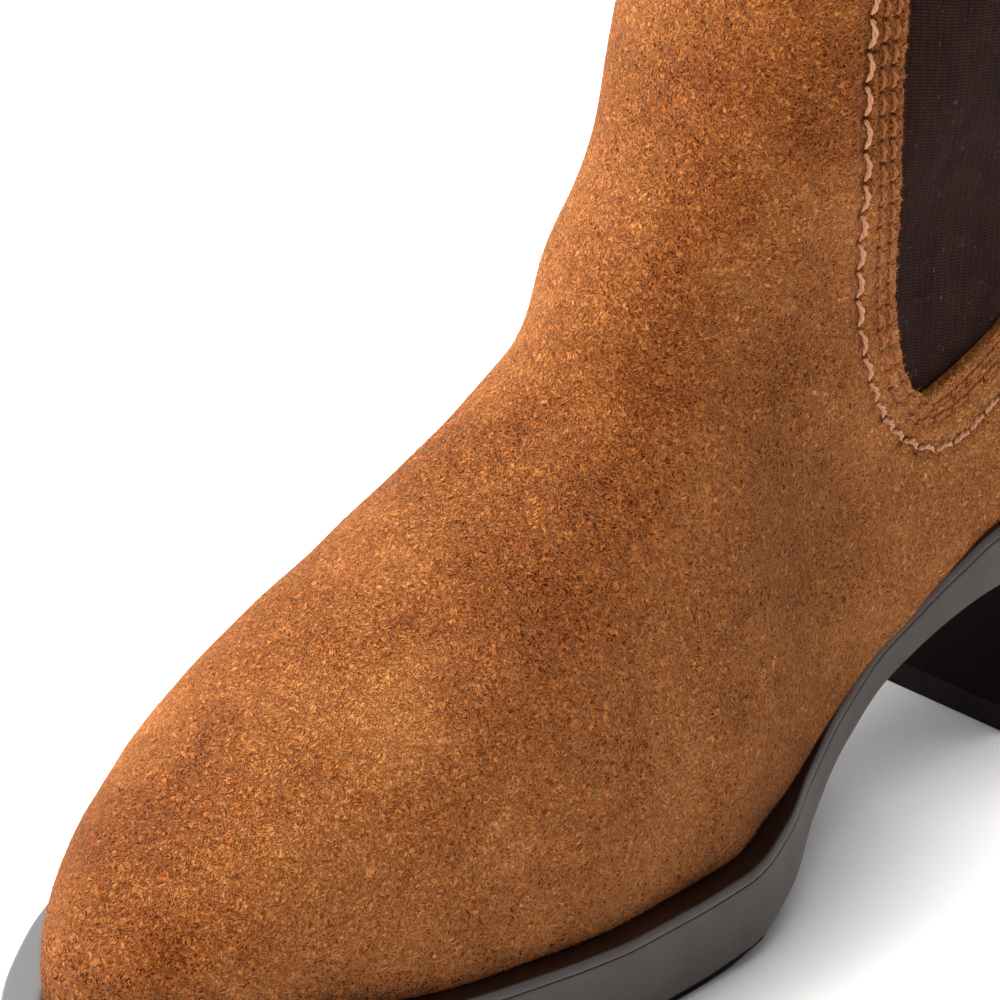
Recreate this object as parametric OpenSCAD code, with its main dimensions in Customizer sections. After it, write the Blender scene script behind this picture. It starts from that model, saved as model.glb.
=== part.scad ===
// Chelsea boot, left foot, cut away into the pieces that a shoemaker would last, glue, nail and sew together.
// Frame: origin on the floor under the middle of the boot, +Z up, toe towards -Y, +X is the outer (lateral) side.

/* [Sole] */
// Length of the sole from the back of the heel to the toe tip
sole_len = 280; // [268:1:292]
// Width of the sole across the ball
ball_w = 96; // [90:1:102]
// Height of the heel where its front face meets the sole
heel_h = 37; // [34:1:40]
// Thickness of the sole edge at the ball, without the welt
band_t = 16.4; // [14:0.2:19]
// Thickness of the sole edge at the waist and heel, without the welt
waist_t = 8; // [7:0.2:10]
// Thickness of the welt that the upper stands on
welt_t = 1.6; // [1.2:0.1:2]
// Thickness of the rubber tread under the forefoot
tread_t = 1.4; // [1.2:0.1:2]
// Thickness of the rubber top piece under the heel
top_piece_t = 6; // [4:0.5:8]

/* [Upper] */
// Height of the collar above the floor, at the gore
collar_h = 181; // [172:1:188]
// Thickness of the suede
suede_t = 1.8; // [1.4:0.1:1.8]
// Thickness of the elastic gore
gore_t = 1; // [0.8:0.1:1]
// Thickness of the leather lining
lining_t = 1.1; // [0.8:0.1:1.2]
// Thickness of the sewing thread
thread_d = 1.1; // [0.8:0.1:1.4]

/* [Pull tab] */
// Width of the webbing loop
tab_w = 17; // [12:1:20]
// Height of the loop above its hinge line
tab_h = 24; // [18:1:30]
// Thickness of the webbing
tab_t = 1; // [0.8:0.1:1]

/* [Hidden] */

kx = ball_w / 96;
ky = sole_len / 280;
y_mid = 137.4;            // the heel end of the design lies this far behind the frame's origin
x_mid = 0;                // and its long axis this far to the side

// ---------- curves ----------
// A smooth monotone curve through a short table of [where, value] pairs
function seg(T, x, i = 0) = (i >= len(T) - 2 || x < T[i + 1][0]) ? i : seg(T, x, i + 1);
function slp(T, i) = (T[i + 1][1] - T[i][1]) / (T[i + 1][0] - T[i][0]);
function tng(T, i) = i == 0 ? slp(T, 0) : i == len(T) - 1 ? slp(T, i - 1) :
    let (a = slp(T, i - 1), b = slp(T, i), p = T[i][0] - T[i - 1][0], q = T[i + 1][0] - T[i][0])
    a * b <= 0 ? 0 : 3 * (p + q) / ((2 * q + p) / a + (q + 2 * p) / b);
function crv(T, x0) = let (x = min(max(x0, T[0][0]), T[len(T) - 1][0]), i = seg(T, x),
    h = T[i + 1][0] - T[i][0], t = (x - T[i][0]) / h)
    (2*t*t*t - 3*t*t + 1) * T[i][1] + (t*t*t - 2*t*t + t) * h * tng(T, i)
    + (3*t*t - 2*t*t*t) * T[i + 1][1] + (t*t*t - t*t) * h * tng(T, i + 1);
function clamp01(t) = min(max(t, 0), 1);
function ease(a, b, x) = let (t = clamp01((x - a) / (b - a))) t * t * (3 - 2 * t);
// Rounds a half width off towards an end of the boot
function cap(t, n) = let (s = clamp01(t)) sqrt(1 - pow(1 - s, n));
function lerp(a, b, t) = a + (b - a) * t;

// Underside of the sole, [y, z], y from the toe tip to the back of the heel
UNDER = [[-280, 7], [-260, 4.2], [-235, 1.8], [-205, 0], [-185, 0], [-165, 0], [-150, 1], [-130, 0.2 * heel_h],
         [-110, 0.45 * heel_h], [-90, 0.71 * heel_h], [-62, heel_h - 1.4], [-30, heel_h], [0, heel_h]];
// Thickness of the sole edge, welt included
EDGE = [[-280, band_t + welt_t], [-180, band_t + welt_t], [-150, band_t + welt_t - 0.6], [-134, band_t + welt_t - 3],
        [-114, waist_t + welt_t + 0.6], [-100, waist_t + 1.2], [-88, waist_t + 1], [-74, waist_t + welt_t + 0.8],
        [-60, waist_t + welt_t + 3.2], [0, waist_t + welt_t + 3.2]];
function under(y) = crv(UNDER, y);
function deck(y) = crv(UNDER, y) + crv(EDGE, y);     // top of the welt

// Half widths of the sole, lateral and medial, before the ends are rounded off
SOLE_L = [[-280, 46], [-250, 47.5], [-225, 47.5], [-200, 46.6], [-175, 48], [-150, 48.2], [-135, 44.2], [-120, 36.4],
          [-105, 31], [-90, 28.8], [-60, 32], [-30, 33], [0, 33]];
SOLE_M = [[-280, 40], [-262, 46.5], [-248, 50.5], [-230, 52], [-200, 49.3], [-175, 43], [-150, 31.5], [-120, 23.5],
          [-90, 24.5], [-60, 29], [-30, 32], [0, 32]];
BEND = [[-280, -3], [-250, -2.5], [-225, -2.5], [-190, 0], [0, 0]];      // the toe turns a little inwards
function sole_l(y, s) = crv(BEND, y) + (crv(SOLE_L, y) - s) * cap((y + 280 - s) / 100, 1.45) * cap((-s - y) / 34, 2.1);
function sole_m(y, s) = crv(BEND, y) - (crv(SOLE_M, y) - s) * cap((y + 280 - s) / 100, 1.45) * cap((-s - y) / 34, 2.1);

// Ledge left on the welt outside the upper
LEDGE_L = [[-280, 6.2], [-200, 5.6], [-160, 6.8], [-140, 5.8], [-120, 2.8], [-100, 0.8], [-90, 0.4], [-78, 1.2],
           [-62, 2.4], [-30, 2.6], [0, 2.6]];
LEDGE_M = [[-280, 9.5], [-260, 8.6], [-240, 6.8], [-220, 6], [-200, 5.6], [-160, 6], [-140, 4], [-120, 1], [-90, 0.3],
           [-60, 1.5], [-30, 2.4], [0, 2.6]];

// Side view of the upper, [z, y]: the front line runs from the toe over the instep and up the shaft
FRONT = [[20, -269.5], [26, -270.5], [32, -269.5], [38, -265], [44, -257], [50, -246.5], [56, -235], [64, -218.5],
         [74, -197.5], [84, -177.5], [93, -159.5], [98, -151.6], [104, -146.2], [112, -140.8], [124, -132.9], [140, -124.8],
         [156, -118], [172, -112.8], [190, -108.8]];
BACK = [[46, -2], [54, 1], [64, 3], [74, 3], [86, 1], [100, -4], [115, -8.5], [130, -10.5], [145, -9.5], [160, -6.5],
        [175, -3], [190, 0]];
FRONT_LEN = [[20, 92], [40, 92], [60, 88], [80, 80], [100, 66], [120, 52], [190, 50]];
FRONT_EXP = [[20, 1.45], [36, 1.55], [50, 1.85], [66, 2.2], [88, 2.2], [106, 1.85], [130, 2.15], [190, 2.15]];
BACK_LEN = [[40, 32], [60, 36], [90, 44], [120, 48], [190, 52]];
SHAFT_W = [[90, 32.5], [115, 32.5], [150, 36], [190, 40.5]];
function front(z) = crv(FRONT, z);
function back(z) = crv(BACK, z);
function side_w(y, z, T, ledge, ws) = let (b = crv(T, y) - crv(ledge, y),
    u = (1 + ease(-200, -150, y) * (1 - 0.8 * ease(-105, -70, y))) * sin(180 * clamp01((z - deck(y)) / 36))) b + u + (ws - b - u) * ease(52, 112, z);
function axis_x(y, z) = crv(BEND, y) * (1 - ease(50, 80, z)) - 4 * ease(45, 75, z) * (1 - ease(105, 140, z));
function ends(y, z, s) = cap((y - front(z) - s) / crv(FRONT_LEN, z), crv(FRONT_EXP, z))
    * cap((back(z) - s - y) / crv(BACK_LEN, z), 2.15);
// x of the outside of the upper at [y, z], set inwards by s; side is 1 for lateral and -1 for medial
function skin_x(y, z, side, s = 0) = axis_x(y, z) + side * ends(y, z, s) *
    (side_w(y, z, side > 0 ? SOLE_L : SOLE_M, side > 0 ? LEDGE_L : LEDGE_M, crv(SHAFT_W, z) - (side > 0 ? 0 : 0.5)) - s);

// Elastic gore, [z, y] of its front and rear edges and [y, z] of its lower edge
tip_z = 80.5;  tip_y = -78;  heel_z = 113;  heel_y = -40;
GORE_F = [[80.5, -78], [84, -82], [90, -85], [98, -87], [110, -88.5], [125, -90.5], [138, -92], [150, -91.5],
          [167, -90], [190, -89]];
GORE_R = [[113, -40], [125, -37.5], [140, -36], [160, -36], [190, -37]];
GORE_B = [[-78, 80.5], [-66, 84.5], [-58, 88], [-50, 94], [-44, 102], [-40, 113]];
GUIDE = [[20, -104], [45, -97], [80.5, -78], [113, -66]];                 // carries the gore's front edge down to the welt
COLLAR = [[-117, collar_h + 3], [-89, collar_h], [-63, collar_h - 1], [-37, collar_h + 1], [0, collar_h + 5]];

// ---------- the grid that every layer of the upper is made on ----------
nf = 14;  ng = 4;  nr = 5;          // columns in front of, along and behind the gore, on one side
na = 8;   nb = 7;                   // rings below and above the gore's lower edge
nh = nf + ng + nr;
nc = 2 * nh;
function qz(s) = 1 - cos(90 * s);
function ring0_z(k) = k <= nf ? tip_z : k <= nf + ng ? crv(GORE_B, lerp(tip_y, heel_y, (k - nf) / ng)) : heel_z;
function collar_z(k) = crv(COLLAR, col_y(k, collar_h, 1, true));
function col_y(k, z, w, above) =
    k <= nf ? let (g = above ? crv(GORE_F, z) : crv(GUIDE, z)) front(z) + (g - front(z)) * qz(k / nf)
    : k <= nf + ng ? let (t = (k - nf) / ng, z0 = ring0_z(k),
        a = above ? crv(GORE_F, z) : crv(GUIDE, z), a0 = above ? crv(GORE_F, z0) : crv(GUIDE, z0))
        lerp(a, crv(GORE_R, z), t) + (above ? 1 - w : w) * (lerp(tip_y, heel_y, t) - lerp(a0, crv(GORE_R, z0), t))
    : back(z) - (back(z) - crv(GORE_R, z)) * qz((nh - k) / nr);
function foot_y(k) = k <= nf ? lerp(-271.5, -100, qz(k / nf)) : k <= nf + ng ? lerp(-100, -40, (k - nf) / ng)
    : -2 - 38 * qz((nh - k) / nr);
function yz(k, i, lift) = i <= na
    ? let (w = i / na, y1 = col_y(k, deck(foot_y(k)) + lift, 0, false), z = lerp(deck(y1) + lift, ring0_z(k), w))
      [col_y(k, z, w, false), z]
    : let (w = (i - na) / nb, z = lerp(ring0_z(k), collar_z(k), w)) [col_y(k, z, w, true), z];
function grid_pt(c, i, lift) = let (k = c <= nh ? c : nc - c, p = yz(k, i, lift))
    [k == 0 || k == nh ? axis_x(p[0], p[1]) : skin_x(p[0], p[1], c < nh ? 1 : -1), p[0], p[1]];
function grid(lift, i0, i1) = [for (i = [i0:i1]) [for (c = [0:nc - 1]) grid_pt(c, i, lift)]];
function unit(v) = v / norm(v);
// Outward normals of a grid that closes on itself
function normals(G) = let (r = len(G)) [for (i = [0:r - 1]) [for (c = [0:nc - 1])
    unit(cross(G[i][(c + 1) % nc] - G[i][(c + nc - 1) % nc], G[min(i + 1, r - 1)][c] - G[max(i - 1, 0)][c]))]];
function inwards(G, N, d) = [for (i = [0:len(G) - 1]) [for (c = [0:nc - 1]) G[i][c] - d * N[i][c]]];
function place(p) = [(p[0] - x_mid) * kx, (p[1] + y_mid) * ky, p[2]];

// Closes the space between two grids A (outside) and B (inside) over the cells that keep(i, c) lists
function cell(M, i, c, r) = i >= 0 && i < r - 1 && M[i][(c + nc) % nc];
module shell(A, B, M) {
    r = len(A);
    n = r * nc;
    function o(i, c) = i * nc + (c + nc) % nc;
    faces = [for (i = [0:r - 2]) for (c = [0:nc - 1]) if (M[i][c]) each concat(
        [[o(i, c), o(i + 1, c + 1), o(i, c + 1)], [o(i, c), o(i + 1, c), o(i + 1, c + 1)],
         [n + o(i, c), n + o(i, c + 1), n + o(i + 1, c + 1)], [n + o(i, c), n + o(i + 1, c + 1), n + o(i + 1, c)]],
        cell(M, i - 1, c, r) ? [] : [[o(i, c), o(i, c + 1), n + o(i, c + 1)], [o(i, c), n + o(i, c + 1), n + o(i, c)]],
        cell(M, i + 1, c, r) ? [] : [[o(i + 1, c), n + o(i + 1, c + 1), o(i + 1, c + 1)], [o(i + 1, c), n + o(i + 1, c), n + o(i + 1, c + 1)]],
        cell(M, i, c - 1, r) ? [] : [[o(i, c), n + o(i, c), n + o(i + 1, c)], [o(i, c), n + o(i + 1, c), o(i + 1, c)]],
        cell(M, i, c + 1, r) ? [] : [[o(i, c + 1), o(i + 1, c + 1), n + o(i + 1, c + 1)], [o(i, c + 1), n + o(i + 1, c + 1), n + o(i, c + 1)]])];
    used = [for (R = A) each R];
    polyhedron([for (p = concat(used, [for (R = B) each R])) place(p)], faces, convexity = 8);
}
function col_of(c) = let (m = c < nh ? c : nc - 1 - c) m;      // cell c counted from the toe on either side

// ---------- flat layers that follow the sole ----------
// Stations along the boot, closer together at the two ends
function stations(a, b) = concat([for (i = [0:7]) a + 0.15 + 30 * i * i / 64],
    let (n = max(4, ceil((b - a - 50) / 7))) [for (i = [0:n]) lerp(a + 30.15, b - 20.15, i / n)],
    [for (i = [7:-1:0]) b - 0.15 - 20 * i * i / 64]);
// A closed stack of outlines: each level lists [lateral x, medial x, y, z] from front to back
module stack(levels) {
    n = len(levels[0]);
    pts = [for (L = levels) each concat([for (s = L) place([s[0], s[2], s[3]])], [for (i = [n - 1:-1:0]) place([L[i][1], L[i][2], L[i][3]])])];
    m = 2 * n;
    top = (len(levels) - 1) * m;
    polyhedron(pts, concat(
        [for (i = [0:n - 2]) each [[i, m - 1 - i, m - 2 - i], [i, m - 2 - i, i + 1]]],
        [for (i = [0:n - 2]) each [[top + i, top + m - 2 - i, top + m - 1 - i], [top + i, top + i + 1, top + m - 2 - i]]],
        [for (k = [0:len(levels) - 2]) for (j = [0:m - 1]) let (a = k * m + j, b = k * m + (j + 1) % m)
            each [[a, b, b + m], [a, b + m, a + m]]]), convexity = 6);
}
function sole_level(S, s, z) = [for (i = [0:len(S) - 1]) [sole_l(S[i], s), sole_m(S[i], s), S[i], z[i]]];
function body_level(S, s, h) = [for (y = S) let (z = deck(y) + 2) [skin_x(y, z, 1, s), skin_x(y, z, -1, s), y, deck(y) + h]];

// A level stack with a hole through it: outer and inner outlines at two heights
module frame_ring(S, T, s1, s2, h1, h2) {
    n = len(S);
    function loop(Q, s, h) = concat([for (y = Q) place([sole_l(y, s), y, deck(y) + h])],
        [for (i = [n - 1:-1:0]) place([sole_m(Q[i], s), Q[i], deck(Q[i]) + h])]);
    m = 2 * n;
    polyhedron(concat(loop(S, s1, h1), loop(S, s1, h2), loop(T, s2, h1), loop(T, s2, h2)),
        [for (j = [0:m - 1]) let (k = (j + 1) % m) each [
            [j, k, m + k], [j, m + k, m + j],
            [m + j, m + k, 3 * m + k], [m + j, 3 * m + k, 3 * m + j],
            [2 * m + j, 3 * m + j, 3 * m + k], [2 * m + j, 3 * m + k, 2 * m + k],
            [j, 2 * m + j, 2 * m + k], [j, 2 * m + k, k]]], convexity = 8);
}

function tread_at(y) = tread_t * (1 - ease(-150, -126, y));
glue = 0.25;                       // bond line between glued layers

module tread() {
    S = stations(-278.6, -134);
    color([0.05, 0.045, 0.045]) stack([
        sole_level(S, 1.6, [for (y = S) under(y)]),
        sole_level(S, 1.2, [for (y = S) under(y) + tread_at(y) * 0.5]),
        sole_level(S, 1.2, [for (y = S) under(y) + tread_at(y) - 0.05])]);
}

module midsole() {
    S = stations(-279.4, -0.6);
    low = [for (y = S) under(y) + tread_at(y) + 0.05];
    high = [for (y = S) deck(y) - welt_t - 0.2];
    color([0.27, 0.24, 0.22]) stack([
        sole_level(S, 1.1, low),
        sole_level(S, 0.1, low + [for (y = S) 1.1]),
        sole_level(S, 0.1, high - [for (y = S) 0.9]),
        sole_level(S, 0.6, high)]);
}

module welt() {
    S = stations(-279.2, -0.8);
    // the inner outline keeps the outer one's stations except near the ends, so the ring bends like the sole below it
    T = [for (y = S) y < -249 ? lerp(-265.9, -249, (y + 279.05) / 30.05) : y > -21 ? lerp(-21, -14.1, (y + 21) / 20.05) : y];
    color([0.06, 0.04, 0.035]) frame_ring(S, T, 0.8, 14, -welt_t, 0);
}

module bottom_filler() {
    S = stations(-264.5, -142);
    color([0.76, 0.6, 0.4]) stack([
        sole_level(S, 15, [for (y = S) deck(y) - welt_t + 0.1]),
        sole_level(S, 15, [for (y = S) deck(y) - 0.1])]);
}

module shank() {
    S = [for (y = [-139:5:-29]) y];
    color([0.62, 0.63, 0.65]) stack([for (h = [-welt_t + 0.1, -0.1])
        [for (y = S) [6.5 * cap((y + 140) / 8, 2) * cap((-28 - y) / 8, 2) + 0.5, -6.5 * cap((y + 140) / 8, 2) * cap((-28 - y) / 8, 2) - 0.5, y, deck(y) + h]]]);
}

// The heel's front face leans back towards the floor
function breast(z) = lerp(-57, -61, z / heel_h);
function heel_level(z, s, fit) = let (a = breast(z), b = -0.15 - s)
    [for (t = [0, 0.15, 0.3, 0.45, 0.58, 0.7, 0.8, 0.88, 0.94, 0.98, 1]) let (y = lerp(a, b, t))
        [sole_l(y, s), sole_m(y, s), y, fit ? under(y) - 0.05 : z]];
module heel_block() {
    color([0.05, 0.04, 0.038]) difference() {
        stack([heel_level(top_piece_t + 0.1, 3.4, false), heel_level(16, 2.6, false), heel_level(26, 1.8, false), heel_level(heel_h, 1.2, true)]);
        translate([0, (y_mid - 30) * ky, top_piece_t - 1]) cylinder(h = 14, r = 5, $fn = 48);
    }
}

module heel_top_piece() {
    L = heel_level(0, 3.4, false);
    n = len(L);
    color([0.03, 0.03, 0.03]) linear_extrude(height = top_piece_t)
        polygon(concat([for (s = L) [s[0] * kx, (s[2] + y_mid) * ky]], [for (i = [n - 1:-1:0]) [L[i][1] * kx, (L[i][2] + y_mid) * ky]]));
}

// Wood screw that draws the heel up against the seat, its head in the counterbore over the top piece
module heel_screw() {
    z1 = top_piece_t + 13;
    color([0.7, 0.7, 0.72]) translate([0, (y_mid - 30) * ky, 0]) {
        translate([0, 0, z1 - 3.2]) cylinder(h = 3.1, r = 4.2, $fn = 48);
        translate([0, 0, z1 - 0.2]) cylinder(h = deck(-30) - z1 + 3.6, r = 2.1, $fn = 48);
    }
}

// Four nails driven from inside the seat
module heel_nails() {
    color([0.66, 0.66, 0.68]) for (q = [[16, -44], [-15, -44], [14, -16], [-13, -16]])
        translate([q[0] * kx, (y_mid + q[1]) * ky, 0]) {
            translate([0, 0, heel_h - 12]) cylinder(h = deck(q[1]) - heel_h + 12 + 3.4, r = 1, $fn = 32);
            translate([0, 0, deck(q[1]) + 2.9]) cylinder(h = 0.9, r = 2.2, $fn = 32);
        }
}

// Dowels moulded into the top piece's upper face, pressed into the heel
module top_piece_pins() {
    color([0.5, 0.5, 0.5]) for (q = [[14, -48], [-13, -48], [12, -13], [-11, -13]])
        translate([q[0] * kx, (y_mid + q[1]) * ky, 2.5]) cylinder(h = top_piece_t + 6, r = 1.25, $fn = 32);
}

ins_lo = suede_t + glue * 2;
module insole_board() {
    S = stations(-267.4, -4.6);
    color([0.8, 0.74, 0.6]) stack([body_level(S, 2.3, ins_lo), body_level(S, 2.3, ins_lo + 1.6)]);
}
module footbed_foam() {
    S = stations(-264.5, -6.6);
    color([0.95, 0.93, 0.86]) stack([body_level(S, 5.2, ins_lo + 1.8), body_level(S, 5.2, ins_lo + 3.4)]);
}
module sock_lining() {
    S = stations(-264.5, -6.6);
    color([0.78, 0.64, 0.47]) stack([body_level(S, 5.2, ins_lo + 3.6), body_level(S, 5.2, ins_lo + 4.8)]);
}

lin_lo = ins_lo + 2;
// Cells of the toe, counted back from the tip, between the suede and the lining
module toe_puff() {
    G = grid(1, 0, na);  N = normals(G);
    color([0.88, 0.86, 0.8]) shell(inwards(G, N, suede_t + 0.1), inwards(G, N, suede_t + 1.05),
        [for (i = [0:na - 1]) [for (c = [0:nc - 1]) i >= 1 && i < 4 && col_of(c) < (i < 3 ? 7 : 5)]]);
}
module heel_counter() {
    G = grid(1, 0, na);  N = normals(G);
    color([0.86, 0.8, 0.68]) shell(inwards(G, N, suede_t + 0.1), inwards(G, N, suede_t + 1.05),
        [for (i = [0:na - 1]) [for (c = [0:nc - 1]) i >= 1 && i < 5 && col_of(c) >= nf + (i < 3 ? 1 : i < 4 ? 2 : 4)]]);
}

module lining(front_part) {
    G = grid(lin_lo, 0, na + nb);  N = normals(G);
    // The lining stops a little short of the gore's window and of the collar
    shell(inwards(G, N, suede_t + 1.2), inwards(G, N, suede_t + 1.2 + lining_t),
        [for (i = [0:na + nb - 1]) [for (c = [0:nc - 1]) let (k = col_of(c))
            (front_part ? k < nf + 2 : k >= nf + 2) && (i < na || k < nf || k >= nf + ng)]]);
}
module vamp_lining() color([0.8, 0.67, 0.5]) lining(true);
module quarter_lining() color([0.8, 0.67, 0.5]) lining(false);

// Elastic panel, held 6 mm deep between the suede and the lining along its edges
gm = 10;  gn = 12;  lap = 6;
function gore_yz(t, w) = let (ty = lerp(tip_y, heel_y, t), z0 = crv(GORE_B, ty) - lap, y0 = lerp(tip_y - lap, heel_y + lap, t),
    top = crv(COLLAR, lerp(-89, -37, t)) - 0.6, z = lerp(z0, top, w),
    a = crv(GORE_F, z) - lap, b = crv(GORE_R, z) + lap, a0 = crv(GORE_F, z0) - lap, b0 = crv(GORE_R, z0) + lap)
    [lerp(a, b, t) + (1 - w) * (y0 - lerp(a0, b0, t)), z];
module gore(side) {
    e = 0.4;
    function pt(q) = [skin_x(q[0], q[1], side), q[0], q[1]];
    function nrm(q) = unit(side * cross(pt(q + [e, 0]) - pt(q - [e, 0]), pt(q + [0, e]) - pt(q - [0, e])));
    Q = [for (j = [0:gn]) for (i = [0:gm]) gore_yz(i / gm, j / gn)];
    m = len(Q);
    A = [for (q = Q) place(pt(q) - (suede_t + 0.1) * nrm(q))];
    B = [for (q = Q) place(pt(q) - (suede_t + 0.1 + gore_t) * nrm(q))];
    function id(i, j) = j * (gm + 1) + i;
    F = concat(
        [for (j = [0:gn - 1]) for (i = [0:gm - 1]) each [
            [id(i, j), id(i + 1, j + 1), id(i + 1, j)], [id(i, j), id(i, j + 1), id(i + 1, j + 1)],
            [m + id(i, j), m + id(i + 1, j), m + id(i + 1, j + 1)], [m + id(i, j), m + id(i + 1, j + 1), m + id(i, j + 1)]]],
        [for (i = [0:gm - 1]) each [
            [id(i, 0), id(i + 1, 0), m + id(i + 1, 0)], [id(i, 0), m + id(i + 1, 0), m + id(i, 0)],
            [id(i, gn), m + id(i + 1, gn), id(i + 1, gn)], [id(i, gn), m + id(i, gn), m + id(i + 1, gn)]]],
        [for (j = [0:gn - 1]) each [
            [id(0, j), m + id(0, j), m + id(0, j + 1)], [id(0, j), m + id(0, j + 1), id(0, j + 1)],
            [id(gm, j), id(gm, j + 1), m + id(gm, j + 1)], [id(gm, j), m + id(gm, j + 1), m + id(gm, j)]]]);
    color([0.12, 0.08, 0.07]) polyhedron(concat(A, B), side > 0 ? F : [for (f = F) [f[0], f[2], f[1]]], convexity = 4);
}
module gore_lateral() gore(1);
module gore_medial() gore(-1);

// One piece of suede, lasted over the insole board; its lower edge turns 7 mm inwards under the board
module upper() {
    G = grid(glue, 0, na + nb);
    N = normals(G);
    I = inwards(G, N, suede_t);
    turn = [for (c = [0:nc - 1]) let (v = unit([N[0][c][0], N[0][c][1], 0]), p = G[0][c] - 7 * v) [p[0], p[1], deck(p[1]) + glue]];
    raised = [for (c = [0:nc - 1]) [I[0][c][0], I[0][c][1], G[0][c][2] + suede_t]];
    color([0.66, 0.36, 0.16]) shell(
        concat([turn], G),
        concat([[for (p = turn) p + [0, 0, suede_t]], raised], [for (i = [1:na + nb]) I[i]]),
        [for (i = [-1:na + nb - 1]) [for (c = [0:nc - 1]) let (k = col_of(c)) i < na || k < nf || k >= nf + ng]]);
}

// y of the back of the boot at a distance x from its seam
function back_y(x, z) = let (w = side_w(back(z), z, SOLE_L, LEDGE_L, crv(SHAFT_W, z)), a = axis_x(back(z), z))
    back(z) - crv(BACK_LEN, z) * (1 - pow(1 - pow(min(abs(x - a) / w, 0.95), 2), 1 / 2.15));
strip_t = 1.2;
function strip_w(z) = lerp(8.5, 5.5, ease(48, 150, z));
// A patch on the back of the boot between heights Z and half widths X, from a distance d1 inside to d2 outside the suede's face
module back_patch(Z, w, d1, d2) {
    r = len(Z) - 1;
    function p(i, j, d) = let (x = (i / 4 - 1) * w[j], y = back_y(x, Z[j]),
        v = unit([back_y(x - 0.5, Z[j]) - back_y(x + 0.5, Z[j]), 1, 0])) place([x, y, Z[j]] + d * v);
    A = [for (j = [0:r]) for (i = [0:8]) p(i, j, d2)];
    B = [for (j = [0:r]) for (i = [0:8]) p(i, j, d1)];
    m = len(A);
    function id(i, j) = j * 9 + i;
    polyhedron(concat(A, B), concat(
        [for (j = [0:r - 1]) for (i = [0:7]) each [
            [id(i, j), id(i + 1, j), id(i + 1, j + 1)], [id(i, j), id(i + 1, j + 1), id(i, j + 1)],
            [m + id(i, j), m + id(i + 1, j + 1), m + id(i + 1, j)], [m + id(i, j), m + id(i, j + 1), m + id(i + 1, j + 1)]]],
        [for (i = [0:7]) each [
            [id(i, 0), m + id(i + 1, 0), id(i + 1, 0)], [id(i, 0), m + id(i, 0), m + id(i + 1, 0)],
            [id(i, r), id(i + 1, r), m + id(i + 1, r)], [id(i, r), m + id(i + 1, r), m + id(i, r)]]],
        [for (j = [0:r - 1]) each [
            [id(0, j), id(0, j + 1), m + id(0, j + 1)], [id(0, j), m + id(0, j + 1), m + id(0, j)],
            [id(8, j), m + id(8, j + 1), id(8, j + 1)], [id(8, j), m + id(8, j), m + id(8, j + 1)]]]), convexity = 4);
}
module back_strip() {
    Z = [for (i = [0:16]) lerp(deck(-2) + 1.2, collar_h + 4.4, i / 16)];
    color([0.62, 0.33, 0.14]) back_patch(Z, [for (z = Z) strip_w(z)], 0.15, strip_t);
}

// ---------- sewing ----------
// A thread laid along a path on the surface, as a thin six-sided tube
module thread(path, d) {
    n = len(path);
    sides = 5;
    function dir(i) = unit(path[min(i + 1, n - 1)] - path[max(i - 1, 0)]);
    function ref(i) = unit(cross(dir(i), abs(dir(i)[2]) > 0.8 ? [0, 1, 0] : [0, 0, 1]));
    P = [for (i = [0:n - 1]) let (a = ref(i), b = cross(dir(i), a)) for (k = [0:sides - 1])
        path[i] + d / 2 * (cos(360 * k / sides) * a + sin(360 * k / sides) * b)];
    function id(i, k) = i * sides + (k + sides) % sides;
    polyhedron(P, concat(
        [for (i = [0:n - 2]) for (k = [0:sides - 1]) each [[id(i, k), id(i, k + 1), id(i + 1, k + 1)], [id(i, k), id(i + 1, k + 1), id(i + 1, k)]]],
        [[for (k = [sides - 1:-1:0]) id(0, k)]], [[for (k = [0:sides - 1]) id(n - 1, k)]]), convexity = 3);
}
// A row of sewing that runs down the gore's front edge, round its tip, along its lower edge and up its rear edge, at distance g
function row(g) = concat(
    [for (z = [collar_h - 5:-7:97]) [crv(GORE_F, z) - g, z]],
    [[-85.5 - g, 90], [-82.5 - 0.9 * g, 84 - 0.45 * g], [-78 - 0.4 * g, 80.5 - 0.95 * g]],
    [for (y = [-70:8:-54]) [y + 0.35 * g, crv(GORE_B, y) - 0.95 * g]],
    [[-47 + 0.65 * g, 97 - 0.75 * g], [-41.5 + 0.9 * g, 106 - 0.4 * g]],
    [for (z = [116:7:collar_h - 3]) [crv(GORE_R, z) + g, z]]);
function on_skin(q, side, d) = place([skin_x(q[0], q[1], side) + side * d, q[0], q[1]]);
module gore_stitching(side) {
    color([0.8, 0.52, 0.4]) thread([for (q = row(9.2)) on_skin(q, side, thread_d / 4)], thread_d);
    color([0.66, 0.37, 0.18]) for (g = [2.4, 4.6]) thread([for (q = row(g)) on_skin(q, side, thread_d / 4)], thread_d * 0.8);
}
module gore_stitching_lateral() gore_stitching(1);
module gore_stitching_medial() gore_stitching(-1);

// Sewing 3 mm under the collar's edge, in front of the gores and behind them
module collar_stitching() {
    function zc(y) = crv(COLLAR, y) - 3;
    function fy(z, s) = lerp(front(z), crv(GORE_F, z) - 0.8, qz(s));
    function fp(s, side) = let (y = fy(collar_h, s), z = zc(y), q = fy(z, s)) place([s == 0 ? 0 : skin_x(q, z, side) + side * 0.3, q - 0.2, z]);
    function bp(s, side) = let (y = lerp(back(collar_h), crv(GORE_R, collar_h) + 0.8, qz(s)), z = zc(y)) place([skin_x(y, z, side) + side * 0.3, y, z]);
    color([0.66, 0.37, 0.18]) {
        thread(concat([for (i = [12:-1:1]) fp(i / 12, 1)], [fp(0, 1)], [for (i = [1:12]) fp(i / 12, -1)]), thread_d * 0.8);
        for (side = [1, -1]) thread([for (i = [0:6]) bp(1 - i / 11, side)], thread_d * 0.8);
    }
}

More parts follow.
